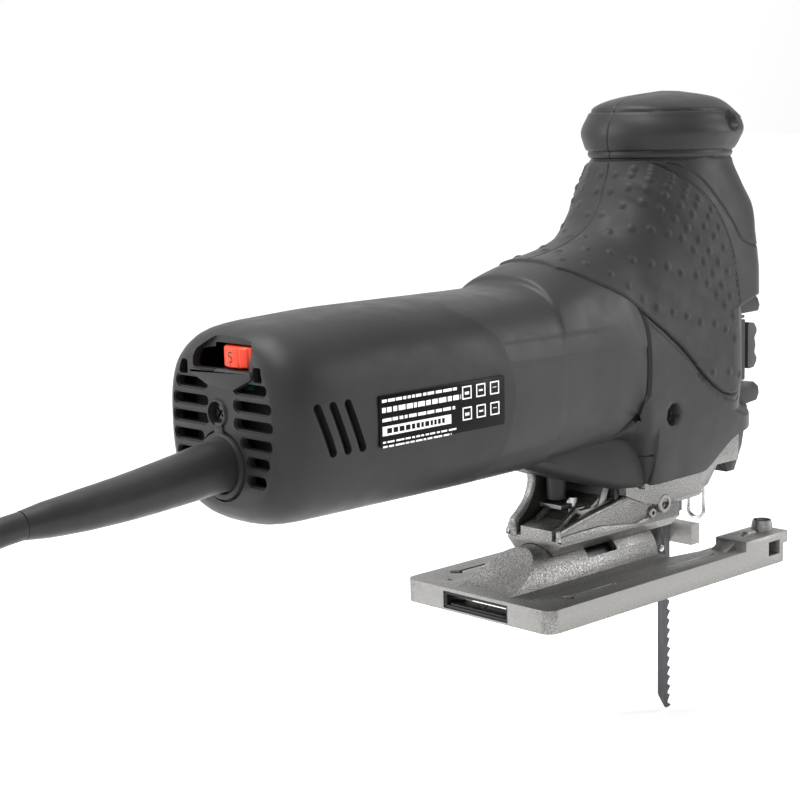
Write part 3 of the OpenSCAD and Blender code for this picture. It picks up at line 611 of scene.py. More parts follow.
def fold_point(phase, r):
    """Point at a share of the way round a loop of two straight runs and two folds.

    It starts at the front of the right run; r is the radius of the fold here."""
    run, bend = HANK_RUN, math.pi * FOLD_R
    at = (phase % 1) * 2 * (run + bend)
    if at < run:
        return HANK_X + run / 2 - at, -r
    if at < run + bend:
        q = math.radians(-90) - (at - run) / FOLD_R
        return HANK_X - run / 2 + r * math.cos(q), r * math.sin(q)
    if at < 2 * run + bend:
        return HANK_X - run / 2 + at - run - bend, r
    q = math.radians(90) - (at - 2 * run - bend) / FOLD_R
    return HANK_X + run / 2 + r * math.cos(q), r * math.sin(q)


def hank_points():
    """Turns beside and on each other; each moves to its next place just where the one before has left it."""
    first, spacing, ease = 0.62, 0.766, 0.075
    start, end = 0.085, 6.13
    out = []
    for tau in np.arange(0, end - start + 1e-6, 1 / TURN_POINTS):
        r, layer = HANK_PLACES[0]
        for i in range(len(HANK_PLACES) - 1):
            t = float(smoothstep(np.array(tau), first + i * spacing - ease, first + i * spacing + ease))
            step = HANK_PLACES[i + 1] - HANK_PLACES[i]
            r, layer = r + step[0] * t, layer + step[1] * t
        x, y = fold_point(start + tau, r)
        out.append((x, y, FLOOR_Z + CORD_D * (layer + 0.5)))
    return out


def make_cord():
    lead = [p for p in CORD_ROUTE if p[0] > HANK_IN]
    tail = [p for p in TAIL_ROUTE if p[0] < HANK_OUT]
    path = smooth_path(lead + hank_points() + tail, 2.2)
    steps = np.linalg.norm(np.diff(path, axis=0), axis=1)
    cord = mesh_piece("power_cord_lead", *tube(path, CORD_D / 2), "root", "cord_rubber",
                      stands_for=("power_cord", "cord_hank", "cord_tail"))
    return cord, path, float(steps.sum())


def make_guard():
    along = smooth_path(GUARD_ROUTE, 1.5)
    run = arc_length(along)
    radii = np.interp(run, [0, 6, 22, 42, 62, 76, run[-1] - 4, run[-1]],
                      [8.75, 9.1, 8.55, 7.7, 6.75, 5.75, 5.15, 4.62])
    mesh_piece("cord_guard_sleeve", *tube(along, radii, 48), "root", "cord_rubber",
               stands_for=("cord_guard",))


def plug_ring(x, half_y, half_z, power):
    """A section of the plug: an ellipse at power 1, squarer below it."""
    q = np.linspace(0, 2 * math.pi, 48, endpoint=False)
    y = half_y * np.sign(np.sin(q)) * np.abs(np.sin(q)) ** power
    z = -half_z * np.sign(np.cos(q)) * np.abs(np.cos(q)) ** power
    return np.stack([np.full(len(q), x), PLUG_Y + y, PLUG_Z + z], -1)


def make_plug():
    # [distance from the lead's end, half width, half height]
    profile = [(0, 5, 5), (6, 5.8, 5.6), (12, 6.4, 6.2), (18, 7, 6.6), (22, 9, 7.8), (27, 14, 8.3),
               (36, 17, 8.5), (50, 17.5, 8.5), (PLUG_LEN - 1.2, 17.5, 8.5), (PLUG_LEN, 16.6, 7.7)]
    parts = [closed_loft([plug_ring(PLUG_REAR - d, a, b, 0.62) for d, a, b in profile])]
    # ribs round the neck, and finger ribs above and below
    for i in range(5):
        x = PLUG_REAR - 2 - 3.2 * i
        grow = 5.9 + 0.25 * i
        parts.append(closed_loft([plug_ring(x - dx, grow + r, grow + r - 0.2, 1)
                                  for dx, r in ((0, -0.8), (0.3, 0), (1.3, 0), (1.6, -0.8))]))
    for i in range(4):
        x = PLUG_REAR - 31 - 6 * i
        for side in (-1, 1):
            z = PLUG_Z + side * 8.3
            low, high = z - 0.2 - 0.2 * (side < 0), z + 0.2 + 0.2 * (side > 0)
            parts.append(box((x - 2, PLUG_Y - 10, low), (x, PLUG_Y + 10, high), 0.15))
    plug = solid_piece("plug_moulding", *join_parts(parts), "root", "cord_rubber", stands_for=("plug_body",))
    front = PLUG_REAR - PLUG_LEN
    pins, sleeves = [], []
    for side in (-1, 1):
        y = PLUG_Y + side * 9.5
        pins.append(rounded_rod((front + 1, y, PLUG_Z), (front - 19, y, PLUG_Z), 2.4, 0.8))
        sleeve = [(0, 2.42), (0, 2.75), (8.6, 2.75), (9, 2.42)]
        sleeves.append(lathe(sleeve, (front + 0.5, y, PLUG_Z), (-1, 0, 0), 32, True))
    pins = mesh_piece("plug_contact_pins", *join_parts(pins), "root", "plated_pins",
                      stands_for=("plug_pins",))
    sleeves = solid_piece("plug_pin_sleeves", *join_parts(sleeves), "root", "black_plastic")
    return plug, pins, sleeves


def make_tie():
    """A flat strap buckled round the hank."""
    half_y = HANK_PLACES[0, 0] + CORD_D / 2 + 0.2
    top = FLOOR_Z + 4 * CORD_D + 0.2
    verts = []
    # inside rear, inside front, outside front, outside rear edge of the strap
    edges = ((0, -3.6), (0, 3.6), (1.0, 3.6), (1.0, -3.6))
    for grow, x in edges:
        wide, low = half_y + grow, FLOOR_Z + 0.2 + 0.1 * (1 - grow)
        outline = round_outline(rect(-wide, wide, low, top + grow), 5 + grow, 8)
        verts += [(HANK_X + x, y, z) for y, z in outline]
    strap = verts, loop_faces(len(edges), len(outline))
    buckle = box((HANK_X - 5, -6, top + 0.6), (HANK_X + 5, 4, top + 1.3), 0.3)
    return solid_piece("cord_tie_strap", *join_parts([strap, buckle]), "root", "black_plastic",
                       stands_for=("cord_tie",))


cord, cord_path, cord_length = make_cord()
make_guard()
plug, plug_pins, plug_sleeves = make_plug()
tie = make_tie()

# ---- moulded body: stations --------------------------------------------------------------------

KNOB_TOP = 198.2
MOTOR_Z = 91
# Each station is a plane that holds Y, from a rear or top point a to a front or bottom point b:
# [ax, az, bx, bz, half width, roundness, edge, pad]. edge and pad say where the section and
# the grip pad end on the way from a to b.
STATIONS = np.array([
    (-136, 126, -136, 56, 33.5, 2.7, 1, 0),
    (-104, 126.5, -105, 56.5, 33, 2.7, 1, 0),
    (-97, 130.5, -96, 57, 32.6, 2.6, 1, 0),
    (-86, 134, -80, 57, 32.3, 2.5, 1, 0.02),
    (-74, 136, -64, 57, 32, 2.5, 1, 0.13),
    (-63, 138.5, -51, 52, 31.8, 2.5, 1, 0.22),
    (-52, 143, -40, 22, 31.5, 2.6, 0.84, 0.26),
    (-46, 147.5, -22, 22, 31.3, 2.7, 0.84, 0.35),
    (-42.5, 152, -4, 24, 31, 2.8, 0.86, 0.45),
    (-40, 156, 22, 34, 30.7, 2.9, 0.83, 0.66),
    (-39, 158.5, 38, 46, 30.4, 3, 0.9, 0.7),
    (-38, 161, 53, 60, 30.2, 3, 1, 0.53),
    (-37, 163, 54, 80, 30, 3, 1, 0.485),
    (-36.3, 164.5, 52.5, 105, 29.5, 2.8, 1, 0.44),
    (-35.8, 166, 49, 128, 28.5, 2.6, 1, 0.34),
    (-35.3, 168, 43.5, 146, 27.5, 2.4, 1, 0.19),
    (-35, 170, 36, 159, 26.5, 2.2, 1, 0.1),
    (-35, 171.5, 30, 170.5, 26, 2.1, 1, 0),
    (-36.3, 177, 32, 177, 29, 2.1, 1, 0),
    (-36.5, 182, 33.5, 181.5, 31, 2.1, 1, 0),
    (-34.5, 187.5, 34, 184.5, 29.5, 2.1, 1, 0),
    (-30, 193, 33, 187, 27, 2.1, 1, 0),
    (-19, KNOB_TOP - 2.3, 24, 194.5, 19, 2, 1, 0),
    (0, KNOB_TOP, 7, KNOB_TOP - 0.4, 4, 2, 1, 0),
], float)


def stations_at(k):
    """Stations interpolated smoothly at fractional numbers k."""
    k = np.asarray(k, float)
    last = len(STATIONS) - 1
    i = np.clip(np.floor(k).astype(int), 0, last - 1)
    t = (k - i)[..., None]
    p0, p1 = STATIONS[np.maximum(i - 1, 0)], STATIONS[i]
    p2, p3 = STATIONS[i + 1], STATIONS[np.minimum(i + 2, last)]
    return catmull_rom(p0, p1, p2, p3, t)


def signed_power(v, e):
    return np.sign(v) * np.abs(v) ** e


def section_points(s, q):
    """Points at angles q on the left side of sections with the station values s."""
    a, b = s[..., 0:2], s[..., 2:4]
    half = np.linalg.norm(b - a, axis=-1) / 2
    direction = (b - a) / (2 * half[..., None])
    e = 2 / s[..., 5]
    c = (a + b) / 2 - direction * (half * signed_power(np.cos(q), e))[..., None]
    return np.stack([c[..., 0], s[..., 4] * signed_power(np.sin(q), e), c[..., 1]], -1)


def body_points(k, q):
    """Points of the moulded body at stations k (m) and angles q (m, n) in radians: (m, n, 3), left side."""
    return section_points(stations_at(k)[:, None, :], q)


def angle_at(k, fraction):
    """Angle at which the section reaches that fraction of its way from a to b."""
    s = stations_at(k)
    f = np.clip(fraction, 0, 1)
    return np.arccos(np.clip(-signed_power(2 * f - 1, s[:, 5] / 2), -1, 1))


def even_stations(start, end, count):
    """Station numbers whose rings lie about evenly along the body."""
    fine = np.linspace(start, end, 600)
    q = np.broadcast_to(np.linspace(0.3, 2.9, 7), (600, 7))
    p = body_points(fine, q)
    step = np.linalg.norm(np.diff(p, axis=0), axis=-1).mean(1) + 1e-4
    run = np.concatenate([[0], np.cumsum(step)])
    return np.interp(np.linspace(0, run[-1], count), run, fine)


def even_angles(k, q_start, q_end, count):
    """Angles whose points lie about evenly round each section."""
    m = len(k)
    out = np.zeros((m, count))
    t = np.linspace(0, 1, 240)
    for i in range(m):
        q = q_start[i] + (q_end[i] - q_start[i]) * t
        p = body_points(k[i:i + 1], q[None])[0]
        run = np.concatenate([[0], np.cumsum(np.linalg.norm(np.diff(p, axis=0), axis=1) + 1e-5)])
        out[i] = np.interp(np.linspace(0, run[-1], count), run, q)
    return out


def grid_normals(p):
    n = np.cross(np.gradient(p, axis=0), np.gradient(p, axis=1))
    return n / np.maximum(np.linalg.norm(n, axis=-1, keepdims=True), 1e-9)


def line_distance(p, line):
    """Distance in the side view from points to a polyline [(x, z), ...]."""
    xz = p[..., [0, 2]]
    best = np.full(p.shape[:-1], 1e9)
    for a, b in zip(line[:-1], line[1:]):
        a, b = np.array(a, float), np.array(b, float)
        d = b - a
        t = np.clip(((xz - a) @ d) / (d @ d), 0, 1)
        best = np.minimum(best, np.linalg.norm(xz - a - t[..., None] * d, axis=-1))
    return best


def groove(distance, depth, half_width):
    """Depth of a round-bottomed groove at that distance from its middle."""
    t = np.clip(1 - distance / half_width, 0, 1)
    return depth * t * t * (3 - 2 * t)


def smooth_line(points, step=2.0):
    flat = smooth_path([(x, 0, z) for x, z in points], step)
    return [(p[0], p[2]) for p in flat]


# ---- barrel, handle and grip pads ----------------------------------------------------------------

# Front edge of the barrel's surface, where the handle's begins: x at each height
SEAM_LINE = smooth_line([(-76, 50), (-72, 57), (-65, 62.5), (-58, 68), (-52.5, 76), (-50.2, 87), (-50, 103),
                         (-52, 112), (-57, 122), (-62, 140)], 1)
SEAM_X, SEAM_Z = zip(*SEAM_LINE)
PAD_T = 0.9
SIDE_LEAN = (0.72, 0.69)
# How far the front reaches along SIDE_LEAN: the heights, and the reach at each of them
FRONT_REACH = ((40, 52, 63, 67, 109.5, 113.5, 125, 140, 156, 166),
               (52, 41, 38.5, 32.4, 32.4, 43, 43.5, 42.5, 45, 60))
FRONT_SOFT = 8


def narrow_front(p):
    """Rounds off the front corners of the body, most of all beside the switch."""
    out = p.copy()
    reach = SIDE_LEAN[0] * p[..., 0] + SIDE_LEAN[1] * np.abs(p[..., 1])
    excess = np.maximum(reach - np.interp(p[..., 2], *FRONT_REACH) + FRONT_SOFT, 0)
    trim = excess - FRONT_SOFT * (1 - np.exp(-excess / FRONT_SOFT))
    sideways = smoothstep(np.abs(p[..., 1]), 2, 12)
    trim /= SIDE_LEAN[0] ** 2 + SIDE_LEAN[1] ** 2 * sideways
    out[..., 0] -= trim * SIDE_LEAN[0]
    out[..., 1] -= trim * SIDE_LEAN[1] * sideways
    return out


class Skin:
    """A table of evenly spaced angles that gives a point for any station and share of its section."""

    def __init__(self, start, end, rows, columns, share):
        self.k = np.linspace(start, end, rows)
        self.q = even_angles(self.k, np.zeros(rows), share(self.k), columns)

    def points(self, k, t):
        rows, columns = self.q.shape
        x = np.clip((k - self.k[0]) / (self.k[-1] - self.k[0]), 0, 1) * (rows - 1)
        y = np.clip(t, 0, 1) * (columns - 1)
        i, j = np.minimum(x.astype(int), rows - 2), np.minimum(y.astype(int), columns - 2)
        a, b = x - i, y - j
        q = ((1 - a) * (1 - b) * self.q[i, j] + a * (1 - b) * self.q[i + 1, j]
             + (1 - a) * b * self.q[i, j + 1] + a * b * self.q[i + 1, j + 1])
        return narrow_front(section_points(stations_at(k), q))


SKIRT_Z = 43.3


def full_share(k):
    """Angle where the section ends: at its edge, or at the skirt's foot."""
    s = stations_at(k)
    foot = np.where((k > 4.8) & (k < 8.7), (s[:, 1] - SKIRT_Z) / np.maximum(s[:, 1] - s[:, 3], 1), 1)
    return angle_at(k, np.minimum(np.minimum(s[:, 6], foot), 1))


def pad_share(k):
    return np.maximum(angle_at(k, stations_at(k)[:, 7]), math.radians(5))


def thick_sheet(outer, inner):
    """A closed solid between two grids of the same size."""
    m, n = outer.shape[:2]
    verts = np.concatenate([outer.reshape(-1, 3), inner.reshape(-1, 3)])
    quads = np.array(grid_faces(m, n, closed_n=False))
    faces = quads.tolist() + (quads[:, ::-1] + m * n).tolist()
    loop = ([j for j in range(n)] + [i * n + n - 1 for i in range(1, m)]
            + [(m - 1) * n + j for j in range(n - 2, -1, -1)] + [i * n for i in range(m - 2, 0, -1)])
    for a, b in zip(loop, loop[1:] + loop[:1]):
        faces.append([b, a, a + m * n, b + m * n])
    return verts, faces


def both_sides(name, node, left, slot, sharp):
    """A left piece and its mirror image, in place of the left and right CAD nodes."""
    verts, faces = left
    mesh_piece(name + "_left", verts, faces, "root", slot, None, sharp, (node + "_left",))
    mirrored = verts * np.array((1, -1, 1)), [f[::-1] for f in faces]
    mesh_piece(name + "_right", *mirrored, "root", slot, None, sharp, (node + "_right",))


HANDLE_START = 2.5  # station
HANDLE_END = 22.95
PAD_START = 3.1
PAD_END = 16.3
handle_skin = Skin(HANDLE_START, HANDLE_END, 260, 120, full_share)
pad_skin = Skin(PAD_START, PAD_END, 160, 90, pad_share)


def seam_stations(skin, t):
    """Station at which each share of the section crosses the seam line."""
    last = 8
    k = np.linspace(HANDLE_START, last, 500)
    out = []
    for share in t:
        p = skin.points(k, np.full_like(k, share))
        ahead = p[:, 0] - np.interp(p[:, 2], SEAM_Z, SEAM_X)
        cross = np.nonzero(ahead > 0)[0]
        out.append(k[cross[0]] if len(cross) else last)
    # smoothed by a running mean
    return np.convolve(np.pad(out, 4, mode="edge"), np.ones(9) / 9, "valid")


# Parting lines in the side view
OUTER_LINE = smooth_line([(-24, 170), (-18.2, 168.3), (-7.7, 161), (6.8, 146.3), (14.2, 137.6), (27.4, 134),
                          (40, 133)])
CAP_LINE = smooth_line([(-40, 190.4), (-20, 190.3), (0, 190), (10, 188.6), (19, 186.8), (40, 183)])
NECK_LINES = [smooth_line([(-45, 174.2), (0, 173.8), (45, 173.2)]),
              smooth_line([(-45, 171.2), (0, 171), (45, 171)])]
WELL_SIDE = (-33.8, 71)
WELL_FRONT = (6.5, 186)
DUCT_FRONT = -43.8
SWITCH_HALF = 9.3  # half width of the opening for the switch
SWITCH_LOW = 64.8
SWITCH_HIGH = 111.2


def make_handle():
    m, n = 430, 210
    t = np.linspace(0, 1, n)
    start = seam_stations(handle_skin, t)
    run = even_stations(5, HANDLE_END, m)
    run = (run - run[0]) / (run[-1] - run[0])
    k = start[None, :] + (HANDLE_END - start[None, :]) * run[:, None]
    tt = np.broadcast_to(t, k.shape)
    p = handle_skin.points(k, tt)
    normal = grid_normals(p)
    normal *= np.sign(normal[..., 1].sum())
    arc_v = arc_length(p, axis=1)
    # distance from the pad's edge at the same station
    pad_edge = pad_skin.points(k, np.ones_like(k))
    inside = (k > PAD_START) & (k < PAD_END)
    edge_gap = np.where(inside, np.sign(arc_v) * np.linalg.norm(p - pad_edge, axis=-1), 99)
    depth = np.zeros((m, n))
    depth += groove(np.abs(edge_gap - 0.2), 0.9, 1.1) + groove(np.abs(edge_gap - 3.4), 0.35, 0.7)
    depth += groove(line_distance(p, OUTER_LINE), 0.55, 0.8) * (np.abs(p[..., 1]) > 12)
    depth += groove(line_distance(p, CAP_LINE), 0.6, 0.8)
    for line in NECK_LINES:
        depth += groove(line_distance(p, line), 0.7, 0.9)
    # rounded lip along the barrel, and the shallow recesses of two screws
    lead = np.linalg.norm(p - p[:1], axis=-1)
    depth -= 0.7 * smoothstep(lead, 0.0, 1.3) * (1 - smoothstep(lead, 7, 22))
    depth += 0.5 * (1 - smoothstep(lead, 0.0, 0.9))
    # upright edge where the skirt stands proud of the fan duct
    low = 1 - smoothstep(p[..., 2], 60, 68)
    depth += 1.3 * low * (1 - smoothstep(p[..., 0], DUCT_FRONT - 0.4, DUCT_FRONT + 0.5))
    side = p[..., [0, 2]] - np.array(WELL_SIDE)
    oval = np.sqrt(side[..., 0] ** 2 + (side[..., 1] / 1.05) ** 2)
    depth += 3.6 * (1 - smoothstep(oval, 3.3, 4.3)) * (p[..., 1] > 15) + 0.25 * (1 - smoothstep(oval, 4.3, 6))
    front = np.linalg.norm(p[..., [0, 2]] - np.array(WELL_FRONT), axis=-1)
    depth += 2.6 * (1 - smoothstep(front, 3.6, 4.8)) * (p[..., 1] > 8)
    # rounded rim along the middle seam
    depth += 0.22 * (1 - smoothstep(arc_v, 0.0, 0.45))
    # raised frame round the switch, with a groove outside it
    frame_y = np.maximum(np.abs(p[..., 1]) - SWITCH_HALF, 0)
    frame_z = np.maximum(np.maximum(SWITCH_LOW - p[..., 2], p[..., 2] - SWITCH_HIGH), 0)
    around = np.hypot(frame_y, frame_z)
    at_front = smoothstep(p[..., 0], 20, 26)
    depth -= 0.9 * at_front * (1 - smoothstep(around, 3.6, 4.6))
    depth += at_front * groove(np.abs(around - 5.2), 0.5, 0.8)
    out = p - normal * depth[..., None]
    # opening for the switch
    hole = (out[..., 0] > 30) * (1 - smoothstep(np.abs(out[..., 1]), SWITCH_HALF, 10)) \
        * smoothstep(out[..., 2], 64.4, 65.2) * (1 - smoothstep(out[..., 2], 110.8, 111.6))
    out[..., 0] -= hole * np.maximum(out[..., 0] - 36, 0)
    out[-1, :, 1] *= 0.02
    wall = np.minimum(2.3, 0.25 * np.abs(p[..., 1]).max(axis=1))[:, None, None]
    inner = out - normal * wall
    inner[..., 1] = np.maximum(inner[..., 1], 0.02)
    out[..., 1] = np.maximum(out[..., 1], 0.02)
    both_sides("handle_shell", "handle", thick_sheet(out, inner), "housing_plastic", 40)


def dome_heights(p, u, v, edge, pitch, row):
    """Height of round domes on the skin p, laid in a quincunx over the arc lengths u and v."""
    centres = []
    for r in range(1, int(u.max() / row)):
        i_row = np.abs(u - r * row).argmin(axis=0)
        columns = np.arange(u.shape[1])
        across = v[i_row, columns]
        at = 3.5 + (r % 2) * pitch / 2
        while at < across[-1]:
            j = np.abs(across - at).argmin()
            if edge[i_row[j], j] > 3.6:
                centres.append(p[i_row[j], j])
            at += pitch
    height = np.zeros(u.shape)
    for c in centres:
        d = np.linalg.norm(p - c, axis=-1)
        height = np.maximum(height, np.clip(1 - (d / 2.1) ** 2, 0, 1) ** 1.5)
    return height


def make_pads():
    m, n = 330, 190
    k = even_stations(PAD_START, PAD_END, m)
    k2 = np.broadcast_to(k[:, None], (m, n))
    t2 = np.broadcast_to(np.linspace(0, 1, n), (m, n))
    p = pad_skin.points(k2, t2)
    normal = grid_normals(p)
    normal *= np.sign(normal[..., 1].sum())
    normal[:, 0] = normal[:, 1]
    u, v = arc_length(p, axis=0), arc_length(p, axis=1)
    u = np.broadcast_to(u[:, n // 3:n // 3 + 1], u.shape) * 0.5 + u * 0.5
    edge = np.minimum(v[:, -1:] - v, np.minimum(u, u[-1:] - u))
    roll = 1 - np.sqrt(np.clip(1 - (1 - np.clip(edge / 1.5, 0, 1)) ** 2, 0, 1))
    height = PAD_T - (PAD_T + 0.35) * roll + 0.6 * dome_heights(p, u, v, edge, 15, 7.6)
    height -= 0.3 * (1 - smoothstep(v, 0, 0.5))
    out = p + normal * height[..., None]
    out[..., 1] = np.maximum(out[..., 1], 0.03)
    inner = p - normal * 0.45
    inner[..., 1] = np.maximum(inner[..., 1], 0.03)
    both_sides("grip_skin", "grip_pad", thick_sheet(out, inner), "grip_rubber", 50)


def make_barrel():
    m, n = 250, 300
    back = -152
    last_station = 6.1
    k = np.concatenate([np.linspace(0, 1, 20), even_stations(1, last_station, m)[1:]])
    q = even_angles(k, np.zeros(len(k)), np.full(len(k), math.pi), n // 2 + 1)
    half = body_points(k, q)
    half[..., 2] = np.maximum(half[..., 2], 53)
    ring = np.concatenate([half, half[:, -2:0:-1] * np.array((1, -1, 1))], axis=1)
    lead_in = np.repeat(ring[:1], 8, axis=0)
    lead_in[..., 0] = np.linspace(back, STATIONS[0, 0] - 2, 8)[:, None]
    ring = np.concatenate([lead_in, ring])
    centre = ring.mean(axis=1, keepdims=True)
    normal = grid_normals(ring)
    normal *= np.sign((normal * (ring - centre)).sum())
    x, y, z = ring[..., 0], ring[..., 1], ring[..., 2]
    depth = np.zeros_like(x)
    # the handle wraps the front of the barrel
    ahead = x - np.interp(z, SEAM_Z, SEAM_X)
    depth += 0.9 * smoothstep(ahead, -0.6, 0.5) + 1.2 * smoothstep(ahead, 1.5, 6)
    # shoulders along the side: a soft step above and below a flatter band
    upper = np.interp(x, [-136, -125, -81, -62], [110.2, 109.6, 109.4, 110.5])
    lower = np.interp(x, [-136, -130, -53], [102.2, 101.8, 99.8])
    fade = smoothstep(x, -150, -128) * (1 - smoothstep(x, -84, -66))
    on_side = smoothstep(np.abs(y), 22, 28)
    depth += 0.55 * fade * on_side * (1 - smoothstep(z, upper - 0.8, upper + 0.8))
    depth += 0.5 * on_side * smoothstep(x, -140, -131) * (1 - smoothstep(z, lower - 0.9, lower + 0.9))
    # rear end steps down into the rear cover
    depth += 1.0 * (1 - smoothstep(x, -141, -138.5)) * (z < 100)
    outer = ring - normal * depth[..., None]
    inner = (ring - normal * 3.0)[::6]
    (rows, columns), inner_rows = outer.shape[:2], len(inner)
    verts = np.concatenate([outer.reshape(-1, 3), inner.reshape(-1, 3)])
    base = rows * columns
    faces = grid_faces(rows, columns)
    faces += [[base + i for i in f[::-1]] for f in grid_faces(inner_rows, columns)]
    # the two ends between the outer and the inner wall
    last_outer, last_inner = base - columns, base + (inner_rows - 1) * columns
    for j in range(columns):
        k = (j + 1) % columns
        faces.append([k, j, base + j, base + k])
        faces.append([last_outer + j, last_outer + k, last_inner + k, last_inner + j])
    solid_piece("barrel_shell", verts, faces, "root", "housing_plastic", "barrel_plastic", 40,
                ("motor_housing",),
                resharp=40)


# ---- rear cover ------------------------------------------------------------------------------------

REAR = -236
COVER_HALF = (34.2, 35)
COVER_POWER = 2 / 2.7
# Vents of the rear face: [height, inner end, outer end]
VENTS = [(104.5, 7, 23.5), (98.6, 7, 25.5), (92.6, 7, 26), (86.4, 10, 25.5), (80.3, 13, 24), (74.2, 13, 22)]
VENT_HALF_H = 1.75
CORD_Z = 78
COLLAR_AT = (REAR, 0.6, CORD_Z - 0.6)
SCREW_YZ = (2, 95)


def even_cover_ring(x_of_z, inset, n, sink=0.0):
    """A ring of the cover with evenly spaced points; x may depend on the height."""
    q = np.linspace(0, 2 * math.pi, 1440, endpoint=False)
    fine = np.stack([(COVER_HALF[0] - inset) * signed_power(np.sin(q), COVER_POWER),
                     MOTOR_Z + (COVER_HALF[1] - inset) * signed_power(np.cos(q), COVER_POWER)], -1)
    closed = np.vstack([fine, fine[:1]])
    run = arc_length(closed)
    at = np.linspace(0, run[-1], n, endpoint=False)
    y, z = np.interp(at, run, closed[:, 0]), np.interp(at, run, closed[:, 1])
    # the top falls towards the rear
    z = z - sink * smoothstep(z, MOTOR_Z + 10, MOTOR_Z + 34)
    x = x_of_z(z) if callable(x_of_z) else np.full(n, float(x_of_z))
    return np.stack([x, y, z], -1)


def vent_cutters(y0, y1, z):
    """A round-ended slot through the rear face, and its flared mouth."""
    parts = []
    for flare, end in ((0, REAR + 6), (0.5, REAR + 0.5)):
        h = VENT_HALF_H + flare
        outline = arc(y1 - VENT_HALF_H, z, h, -90, 90, 7) + arc(y0 + VENT_HALF_H, z, h, 90, 270, 7)
        parts.append(plate(outline, REAR - 2, end, "front", 0))
    return parts


def make_rear_cover():
    n = 220
    corner_run = 19  # how far the rounding of the rear edge reaches forward
    front_z = [63.7, 66.3, 74.2, 81.8, 91.8, 102.7, 111.7, 117.5, 123.6]
    front_x = [-140.6, -134.9, -131.9, -130.3, -128.7, -130.6, -133.9, -139.3, -146.5]
    edge = smooth_line(list(zip(front_x, front_z)), 1)
    ex, ez = [p[0] for p in edge], [p[1] for p in edge]

    def front_edge(z):
        return np.interp(z, ez, ex)

    # rounding of the rear edge: [distance from the rear, inset]
    profile = [(0, 8.4), (0.12, 7.9), (0.5, 7.0), (1.3, 5.6), (2.6, 4.1), (4.4, 2.8), (7, 1.5), (10, 0.7),
               (14, 0.25), (corner_run, 0.0)]
    top_sink = 1.8
    rings = [even_cover_ring(REAR + dx, inset, n, sink=top_sink * (1 - smoothstep(dx, 0, 60)))
             for dx, inset in profile]
    for s in np.linspace(0.06, 1, 44):
        rings.append(even_cover_ring(lambda z: REAR + corner_run + (front_edge(z) - REAR - corner_run) * s,
                                     0, n,
                                     sink=top_sink * (1 - smoothstep(corner_run + 80 * s, 0, 60))))
    rings[-1][:, 0] -= 0.5
    # back along the inside, from the front edge to the rear wall
    for back, inset in ((0.0, 0.45), (0.0, 2.6), (6, 2.8)):
        rings.append(even_cover_ring(lambda z: front_edge(z) - back, inset, n))
    for depth, inset in ((14, 3), (7, 4.5), (3, 9.5)):
        rings.append(even_cover_ring(REAR + depth, inset, n))
    piece = solid_piece("rear_cover_moulding", *closed_loft(rings), "root", "housing_plastic", None, 35,
                        ("rear_cover",))
    cutters = []
    for z, a, b in VENTS:
        for side in (1, -1):
            cutters += vent_cutters(*span(side, a, b), z)
    for side in (1, -1):
        # small square vents beside the dial
        square = [(side * 17.6, 107.4), (side * 21.6, 107.4), (side * 20.4, 111.6), (side * 17.6, 111.6)]
        cutters.append(plate(round_outline(square, 0.6), REAR - 2, REAR + 6, "front", 0))
        for i in range(3):
            # slanted side vents
            top_x, low_x = -223 + 6.5 * i, -217 + 6.5 * i
            outline = arc(top_x, 98.4, 1.6, 190, 10, 7) + arc(low_x, 83.1, 1.6, 10, -170, 7)
            cutters.append(plate(outline, *span(side, 28, 40), "side", 0))
    # recess round the dial and its window, seat of the cord's collar, and well of the screw
    dome = [(-16.4, 108.6), (15.7, 108.6), (15.2, 113.5), (13.2, 117), (5.7, 121.6), (-4.7, 123.6),
            (-13.4, 121.6), (-17.2, 116.5)]
    window = round_outline(rect(-15, 6, 109.6, 118.6), 1.2)
    cutters.append(plate(round_outline(dome, 2.2), REAR - 3, REAR + 3.4, "front", 0))
    cutters.append(plate(window, REAR - 3, REAR + 12, "front", 0))
    cutters.append(lathe([(-3, 12.2), (1.6, 12.2), (2.2, 9.2), (9, 9.2)], COLLAR_AT, (1, 0, 0), 40))
    cutters.append(rounded_rod((REAR - 3, *SCREW_YZ), (REAR + 2.4, *SCREW_YZ), 4.3, 0.1, 32))
    cut(piece, cutters)
    resharpen(piece, 32)


def make_rear_trim():
    parts = []
    # collar round the cord guard, and the screw's boss
    collar = [(0, 9.3), (-1.0, 9.5), (-1.2, 10.2), (-0.9, 11.2), (2.2, 11.9), (2.2, 9.3)]
    boss = [(2.4, 5.2), (-0.5, 4.9), (-0.8, 4.6), (-0.8, 4.1), (2.4, 4.0)]
    parts.append(lathe(collar, COLLAR_AT, (1, 0, 0), 56, True))
    parts.append(lathe(boss, (REAR, *SCREW_YZ), (1, 0, 0), 40, True))
    # lip under the dial
    lip = round_outline([(-17.6, 108.2), (-7.3, 103.6), (5.5, 104.6), (14.4, 108.2), (14.6, 109.4),
                         (2.6, 108.9), (0, 110.2),
                         (-16.4, 110)], 0.9, 4)
    parts.append(plate(lip, REAR - 1.0, REAR + 4, "front", 0.45, 2))
    # web between the screw boss and the collar
    parts.append(plate([(-1.6, 87.5), (3.4, 87.5), (3.0, 92), (-0.6, 92)], REAR - 0.7, REAR + 3, "front",
                       0.3, 2))
    solid_piece("rear_cover_trim", *join_parts(parts), "root", "housing_plastic", resharp=40)
    # near-black sheets behind the vents, which close the view into the motor: painted shade inside the vents
    rear = round_outline([(-27, 67), (27, 67), (28, 112), (-28, 112)], 6)
    shade_sheets = [plate(rear, REAR + 7.4, REAR + 8.2, "front", 0.2, 1)]
    for side in (-1, 1):
        shade_sheets.append(plate(round_outline(rect(-229, -196, 78, 104), 3), *span(side, 29.8, 30.4), "side",
                             0.1, 1))
    mesh_piece("vent_painted_shade", *join_parts(shade_sheets), "root", "black_plastic", "vent_shadow")


